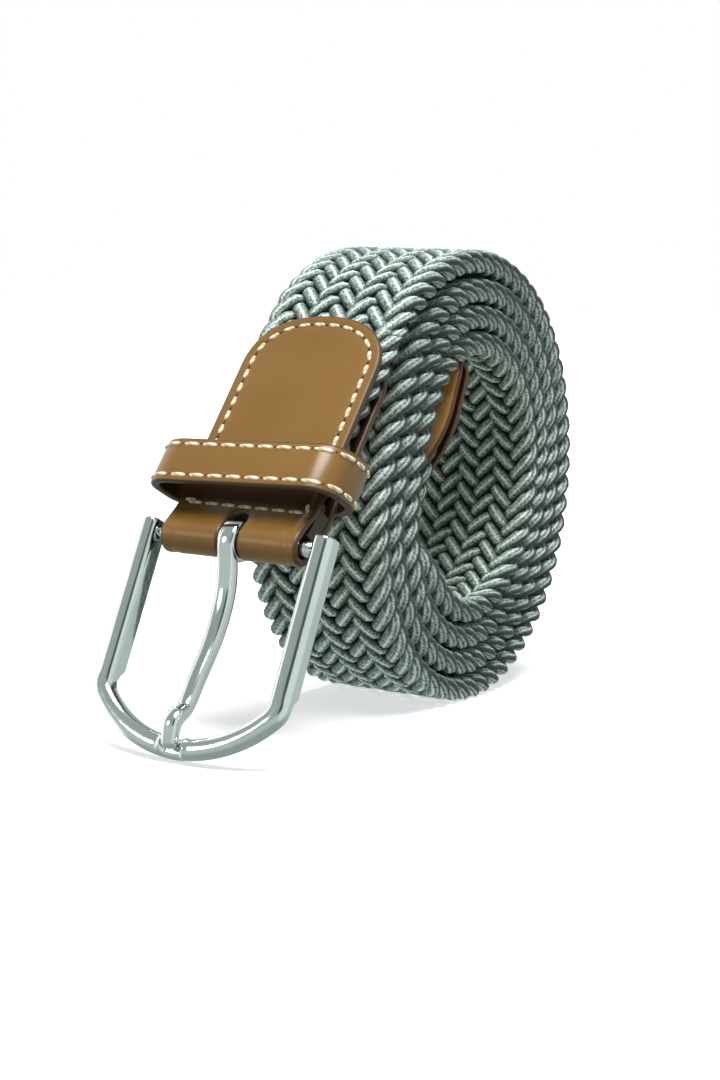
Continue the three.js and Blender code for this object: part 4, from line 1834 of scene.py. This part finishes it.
def rounded_ends(rings: np.ndarray, radius: float, steps: int = 5) -> np.ndarray:
    """Rings that end in a rounded edge: more rings at both ends, drawn in along a quarter circle.

    Args:
        rings: one row of points for each ring, the first and last lying where the ends are to be.
        radius: the edge's radius.
        steps: how many rings each edge has.

    Returns:
        The rings with those of the edges.
    """
    ends = []
    for last, before in ((rings[0], rings[1]), (rings[-1], rings[-2])):
        middle = last.mean(axis=0)
        heading = unit(middle - before.mean(axis=0))
        reach = np.linalg.norm(last - middle, axis=1, keepdims=True)
        extra = []
        for angle in np.radians(np.linspace(0, 90, steps + 1)):
            shrink = np.maximum(1 - radius * (1 - math.cos(angle)) / reach, LEAST_RING)
            extra.append(middle + (last - middle) * shrink + heading * radius * (math.sin(angle) - 1))
        ends.append(np.array(extra))
    return np.concatenate([ends[0][::-1], rings[1:-1], ends[1]])


def face_out(piece: bpy.types.Object) -> None:
    """Turns a closed mesh's faces round if they point in.

    Args:
        piece: the object that has the mesh.
    """
    mesh = piece.data
    mesh.calc_loop_triangles()
    corners = np.zeros(len(mesh.vertices) * 3, np.float32)
    mesh.vertices.foreach_get("co", corners)
    corners = corners.reshape(-1, 3)
    triangles = np.zeros(len(mesh.loop_triangles) * 3, np.int32)
    mesh.loop_triangles.foreach_get("vertices", triangles)
    a, b, c = (corners[triangles.reshape(-1, 3)[:, i]] for i in range(3))
    if np.einsum("ij,ij->", a, np.cross(b, c)) < 0:
        mesh.flip_normals()


@dataclass
class Tip:
    """The leather end piece, folded over the braid's free end."""

    layout: Layout
    half_width: float = 0.0165
    leather: float = 0.0011
    half_thickness: float = 0.00225
    round_length: float = 0.024
    round_power: float = 1.8
    corner: float = 0.0025
    cut: float = 0.004
    past: float = 0.0025
    pull: float = 0.6
    fold_steps: int = 16
    outline_step: float = 0.0008
    edge_radius: float = 0.0005
    seam_inset: float = 0.0022

    def strip(self) -> LeatherStrip:
        """Cuts the strip.

        Returns:
            The strip.
        """
        fold = self.half_thickness - self.leather / 2
        end = self.layout.tip_length - self.half_thickness + self.past
        turn = arc((end, 0.0), fold, 90, -90, self.fold_steps)
        track = Track(np.concatenate([[[self.cut, fold]], turn, [[self.cut, -fold]]]), TRACK_STEP)
        near = rounded_end(self.half_width, self.round_length, self.round_power, END_STEPS)
        far = near[::-1] * (-1, 1) + (track.length, 0.0)
        outline = spaced_loop(np.concatenate([near, far]), self.outline_step)
        from_fold = np.abs(outline[:, 0] - track.length / 2)
        share = np.clip(1 - from_fold / (2 * self.corner), 0.0, 1.0) ** 2
        outline[:, 1] -= np.sign(outline[:, 1]) * share * self.corner * self.pull
        return LeatherStrip(self.layout.tip(), track, outline, self.leather, self.edge_radius,
                            seam_inset=self.seam_inset)

    def build(self) -> None:
        """Makes the end piece."""
        piece = self.strip().build("leather_tip_strip", (TIP_LEATHER.make(),))
        dress(piece, Body.STRAP, Slot.LEATHER, "leather_tip")


class ProngRow(NamedTuple):
    """A place along the prong: how far down and out it lies, and half its thickness and width there."""

    down: float
    out: float
    half_thick: float
    half_wide: float


@dataclass
class Buckle:
    """The U-shaped frame on its bar, and the prong that turns on it."""

    tilt: float = 25.0
    top: float = -0.0026
    half_width: float = 0.0230
    inner_half_width: float = 0.0185
    foot: float = 0.0454
    foot_radius: float = 0.0290
    inner_foot_radius: float = 0.0247
    shoulder: float = 0.0060
    inner_shoulder: float = 0.0030
    half_depth: float = 0.0028
    foot_back: float = 0.0012
    ledge_at: float = 0.0300
    ledge_length: float = 0.0009
    rounding: float = 0.0022
    end_rounding: float = 0.0006
    inner_rounding: float = 0.0016
    bar_radius: float = 0.00165
    seat_half: float = 0.00215
    seat_floor: float = 0.00155
    seat_lip: float = 0.0002
    bore: float = 0.00195
    eye_radius: float = 0.0042
    eye_half_width: float = 0.0021
    prong_line: tuple[ProngRow, ...] = (
        ProngRow(-0.0026, 0.0016, 0.00105, 0.00185),
        ProngRow(-0.0006, 0.0031, 0.00110, 0.00190),
        ProngRow(0.0016, 0.0029, 0.00120, 0.00195),
        ProngRow(0.0036, 0.0016, 0.00145, 0.00200),
        ProngRow(0.0062, 0.0001, 0.00165, 0.00202),
        ProngRow(0.0098, -0.0012, 0.00168, 0.00202),
        ProngRow(0.0146, -0.0018, 0.00165, 0.00200),
        ProngRow(0.0209, -0.0015, 0.00160, 0.00190),
        ProngRow(0.0286, 0.0001, 0.00155, 0.00178),
        ProngRow(0.0346, 0.0013, 0.00150, 0.00168),
        ProngRow(0.0374, 0.0036, 0.00165, 0.00185),
        ProngRow(0.0390, 0.0042, 0.00160, 0.00178),
        ProngRow(0.0412, 0.0038, 0.00145, 0.00165),
        ProngRow(0.0424, 0.0034, 0.00145, 0.00160),
    )
    side_steps: int = 30
    shoulder_steps: int = 24
    foot_steps: int = 90
    foot_rise: float = 0.006
    seat_inner: float = 0.0005
    seat_outer: float = 0.0004
    lip_at: float = 0.0007
    lip_width: float = 0.0005
    most_rounding: float = 0.47
    corner_steps: int = 6
    bar_sides: int = 24
    bar_rings: int = 9
    prong_rings: int = 90
    prong_sides: int = 24
    prong_power: float = 2.8
    nose_angles: tuple[float, ...] = (20.0, 40.0, 60.0, 78.0, 86.0)
    eye_inner_corner: float = 0.0005
    eye_outer_corner: float = 0.0009
    eye_corner_steps: int = 5
    eye_step: float = 6.0

    def plane(self) -> Hang:
        """The frame's middle plane, from the bar down."""
        bar = hinge_place("frame_hinge")
        return Hang(bar[0], bar[1], self.tilt)

    def outline(self, half_width: float, shoulder: float, radius: float) -> np.ndarray:
        """Draws a U, each half of it a straight side, a shoulder and half of the foot.

        Args:
            half_width: half its width.
            shoulder: the shoulder's radius.
            radius: the foot's radius.

        Returns:
            Its points, from one end to the other.
        """
        centre = self.foot - self.foot_radius
        side = half_width - shoulder
        down = centre + math.sqrt((radius - shoulder) ** 2 - side**2)
        turn = math.degrees(math.atan2(side, down - centre))
        straight = np.linspace((self.top, half_width), (down, half_width), self.side_steps)
        bend = arc((down, side), shoulder, 90, turn, self.shoulder_steps)
        foot = arc((centre, 0.0), radius, turn, 0, self.foot_steps)
        half = np.concatenate([straight, bend[1:], foot[1:]])
        return np.concatenate([half, half[-2::-1] * (1, -1)])

    def section(self, far: np.ndarray, near: np.ndarray) -> np.ndarray:
        """Makes the frame's section at one place.

        Args:
            far: a point of its outer line.
            near: the point of its inner line across from it.

        Returns:
            The section's points in space.
        """
        middle = (far + near) / 2
        width = np.linalg.norm(far - near)
        away = (far - near) / width
        past_ledge = float(eased(middle[0], self.ledge_at, self.ledge_at + self.ledge_length))
        back = self.half_depth - (self.half_depth - self.foot_back) * past_ledge
        from_seat = abs(middle[1]) - self.seat_half
        in_seat = 1 - float(eased(from_seat, -self.seat_inner, self.seat_outer))
        lip = self.seat_lip * math.exp(-(((from_seat - self.lip_at) / self.lip_width) ** 2))
        at_foot = float(eased(middle[0], self.ledge_at, self.foot - self.foot_rise))
        front = self.half_depth - (self.half_depth - self.seat_floor) * in_seat * at_foot + lip * at_foot
        depth = front + back
        rounding = min(self.rounding, depth * self.most_rounding)
        section = rounded_section(width, depth, self.inner_rounding, rounding, self.corner_steps)
        spots = middle + section[:, :1] * away
        return self.plane().place(spots[:, 0], spots[:, 1], section[:, 1] + (front - back) / 2)

    def build_frame(self) -> None:
        """Makes the frame and its bar."""
        plane = self.plane()
        outer = self.outline(self.half_width, self.shoulder, self.foot_radius)
        inner = self.outline(self.inner_half_width, self.inner_shoulder, self.inner_foot_radius)
        rings = np.array([self.section(far, near) for far, near in zip(outer, inner)])
        points, faces = loft(rounded_ends(rings, self.end_rounding), closed=False)
        bar_half = (self.half_width + self.inner_half_width) / 2
        ring = arc((0.0, 0.0), self.bar_radius, 0, 360, self.bar_sides)[:-1]
        places = np.linspace(-bar_half, bar_half, self.bar_rings)
        bar = [plane.place(ring[:, 0], np.full(len(ring), y), ring[:, 1]) for y in places]
        bar_points, bar_faces = loft(np.array(bar), closed=False)
        faces += [[i + len(points) for i in face] for face in bar_faces]
        points = np.concatenate([points, bar_points])
        piece = make_piece("buckle_frame_plated", points, faces, None, (PLATE.make(),))
        face_out(piece)
        dress(piece, Body.FRAME, Slot.METAL, "buckle_frame")

    def build_prong(self) -> None:
        """Makes the prong and its eye."""
        plane = self.plane()
        table = np.array(self.prong_line)
        t = np.linspace(0, len(table) - 1, self.prong_rings)
        rows = smooth_through(table, t)
        tangent = unit(np.gradient(rows[:, :2], axis=0))
        normal = np.stack([-tangent[:, 1], tangent[:, 0]], axis=1)
        rings = []
        angles = np.linspace(0, 2 * math.pi, self.prong_sides, endpoint=False)
        power = 2 / self.prong_power
        flat = np.sign(np.cos(angles)) * np.abs(np.cos(angles)) ** power
        thick = np.sign(np.sin(angles)) * np.abs(np.sin(angles)) ** power
        for row, out in zip(rows, normal):
            down, height, half_thick, half_wide = row
            spots = (down, height) + np.outer(thick * half_thick, out)
            rings.append(plane.place(spots[:, 0], flat * half_wide, spots[:, 1]))
        heading = tangent[-1]
        for angle in np.radians(self.nose_angles):
            middle = (down, height) + heading * half_wide * math.sin(angle)
            spots = middle + np.outer(thick * half_thick * math.cos(angle), out)
            rings.append(plane.place(spots[:, 0], flat * half_wide * math.cos(angle), spots[:, 1]))
        points, faces = loft(np.array(rings), closed=False)
        section = rounded_section(self.eye_radius - self.bore, 2 * self.eye_half_width,
                                  self.eye_inner_corner, self.eye_outer_corner, self.eye_corner_steps)
        eye = []
        for angle in np.radians(np.arange(0, 360, self.eye_step)):
            radius = (self.eye_radius + self.bore) / 2 + section[:, 0]
            eye.append(plane.place(radius * math.cos(angle), section[:, 1], radius * math.sin(angle)))
        eye_points, eye_faces = loft(np.array(eye), closed=True)
        arm = make_piece("buckle_prong_plated", points, faces, None, (PLATE.make(),))
        face_out(arm)
        ring = make_piece("prong_eye", eye_points, eye_faces, None, (arm.data.materials[0],))
        face_out(ring)
        join(arm, ring)
        dress(arm, Body.PRONG, Slot.METAL, "buckle_prong")

    def build(self) -> None:
        """Makes the frame and the prong."""
        self.build_frame()
        self.build_prong()


def smooth_through(table: np.ndarray, t: np.ndarray) -> np.ndarray:
    """Rows that pass smoothly through a table's rows.

    Args:
        table: the rows.
        t: places between them, 0 at the first row and 1 at the second.

    Returns:
        One row for each place.
    """
    first = np.clip(np.floor(t).astype(int), 0, len(table) - 2)
    s = (t - first)[:, None]
    slopes = np.gradient(table, axis=0)
    a, b = table[first], table[first + 1]
    return (
        a * (2 * s**3 - 3 * s**2 + 1) + slopes[first] * (s**3 - 2 * s**2 + s)
        + b * (3 * s**2 - 2 * s**3) + slopes[first + 1] * (s**3 - s**2)
    )


def join(piece: bpy.types.Object, *others: bpy.types.Object) -> None:
    """Joins other objects into a piece."""
    with bpy.context.temp_override(active_object=piece, selected_editable_objects=[piece, *others]):
        bpy.ops.object.join()


class Wall(NamedTuple):
    """A side of the room with a colour of its own: the way to its middle, and where it fades in."""

    colour: Rgb
    toward: Direction
    low: float
    high: float


class Sun(NamedTuple):
    """A far light: how wide it looks in degrees, the way to it, and whether it lights or only shines."""

    name: str
    strength: float
    angle: float
    toward: Direction
    lights_up: bool


@dataclass
class Studio:
    """White paper under soft light, and a camera at the photograph's place."""

    camera_place: Direction = (-0.387438, -0.223281, 0.093004)
    camera_right: Direction = (0.5, -0.86603, 0.0)
    camera_up: Direction = (0.10683, 0.06168, 0.99236)
    roll: float = 2.106
    lens: float = 67.918
    sensor: float = 36.0
    clip: Span = (0.01, 50.0)
    floor_size: float = 12.0
    ground: Rgb = (0.32, 0.39, 0.36)
    skirt: Rgb = (0.52, 0.60, 0.56)
    ceiling: Rgb = (0.36, 0.42, 0.40)
    bounced: Rgb = (0.80, 0.85, 0.82)
    ambient: Rgb = (0.235, 0.265, 0.25)
    walls: tuple[Wall, ...] = (
        Wall((1.30, 1.30, 1.30), (0.17, 0.97, 0.15), 0.70, 0.80),
        Wall((0.74, 0.84, 0.78), (-0.20, -0.95, 0.20), 0.60, 0.90),
        Wall((0.08, 0.10, 0.09), (-0.78, -0.42, 0.46), 0.93, 0.985),
    )
    skirt_heights: Span = (-0.8, -0.2)
    ceiling_heights: Span = (0.1, 0.4)
    ambient_heights: Span = (-0.9, 0.0)
    white: Rgb = (1.0, 1.0, 1.0)
    suns: tuple[Sun, ...] = (
        Sun("key", 4.2, 36.0, (-0.23, -0.16, 0.96), True),
        Sun("sheen", 0.22, 16.0, (-0.78, 0.53, 0.33), False),
    )

    def set_camera(self) -> None:
        """Stands the camera at the photograph's place."""
        data = bpy.data.cameras.new("camera")
        data.lens = self.lens
        data.sensor_width = self.sensor
        data.clip_start, data.clip_end = self.clip
        camera = bpy.data.objects.new("camera", data)
        right, up = Vector(self.camera_right), Vector(self.camera_up)
        turn = math.radians(self.roll)
        x = (right * math.cos(turn) + up * math.sin(turn)).normalized()
        y = (up * math.cos(turn) - right * math.sin(turn)).normalized()
        axes = Matrix((x, y, x.cross(y))).transposed().to_4x4()
        camera.matrix_world = Matrix.Translation(self.camera_place) @ axes
        bpy.context.scene.collection.objects.link(camera)
        bpy.context.scene.camera = camera

    def set_floor(self) -> None:
        """Lays the paper."""
        half = self.floor_size / 2
        corners = np.array([[-half, -half, 0.0], [half, -half, 0.0], [half, half, 0.0], [-half, half, 0.0]])
        floor = make_piece("floor", corners, [[0, 1, 2, 3]], None, (PAPER.make(),))
        floor.visible_diffuse = False
        floor.visible_glossy = False
        floor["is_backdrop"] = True

    def set_room(self) -> None:
        """Surrounds the belt with a grey-green room of two bright walls and a dark one, seen as white."""
        world = bpy.data.worlds.new("room")
        world.use_nodes = True
        nodes = Nodes(world.node_tree)
        heading = nodes.wire("ShaderNodeTexCoord", "Generated")
        _, _, height = nodes.parts(heading)
        colour = nodes.blend(height.eased(*self.skirt_heights), self.ground, self.skirt)
        colour = nodes.blend(height.eased(*self.ceiling_heights), colour, self.ceiling)
        for wall in self.walls:
            facing = nodes.vector_math("DOT_PRODUCT", "Value", first=heading, second=wall.toward)
            colour = nodes.blend(facing.eased(wall.low, wall.high), colour, wall.colour)
        soft = nodes.blend(height.eased(*self.ambient_heights), self.bounced, self.ambient)
        colour = nodes.blend(nodes.wire("ShaderNodeLightPath", "Is Diffuse Ray"), colour, soft)
        seen = nodes.wire("ShaderNodeLightPath", "Is Camera Ray")
        colour = nodes.blend(seen, colour, self.white)
        background = world.node_tree.nodes["Background"]
        world.node_tree.links.new(colour.socket, background.inputs["Color"])
        bpy.context.scene.world = world

    def set_lights(self) -> None:
        """Hangs a broad, soft light over the belt, and a weak one that only shows as a sheen."""
        for sun in self.suns:
            data = bpy.data.lights.new(sun.name, "SUN")
            data.energy = sun.strength
            data.angle = math.radians(sun.angle)
            light = bpy.data.objects.new(sun.name, data)
            light.visible_diffuse = sun.lights_up
            light.rotation_mode = "QUATERNION"
            light.rotation_quaternion = Vector(sun.toward).to_track_quat("Z", "Y")
            bpy.context.scene.collection.objects.link(light)

    def build(self) -> None:
        """Sets up the studio."""
        self.set_camera()
        self.set_floor()
        self.set_room()
        self.set_lights()
        bpy.context.scene.view_settings.view_transform = "Standard"


def write_sizes() -> None:
    """Works out the model's box before and after dressing."""
    boxes = {"cad": CAD_BOX, "visual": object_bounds()}
    rows = {name: [list(corner) for corner in box] for name, box in boxes.items()}


def main() -> None:
    """Builds the belt, piece by piece."""
    logging.basicConfig(level=logging.INFO, format="%(name)s: %(message)s")
    Studio().build()
    layout = Layout()
    Braid(BraidPath(layout)).build()
    stitching = Stitching()
    Tab(layout).build(stitching)
    Keeper(layout).build(stitching)
    Tip(layout).build()
    stitching.build("cream_stitches")
    Buckle().build()
    write_sizes()


if __name__ == "__main__":
    main()
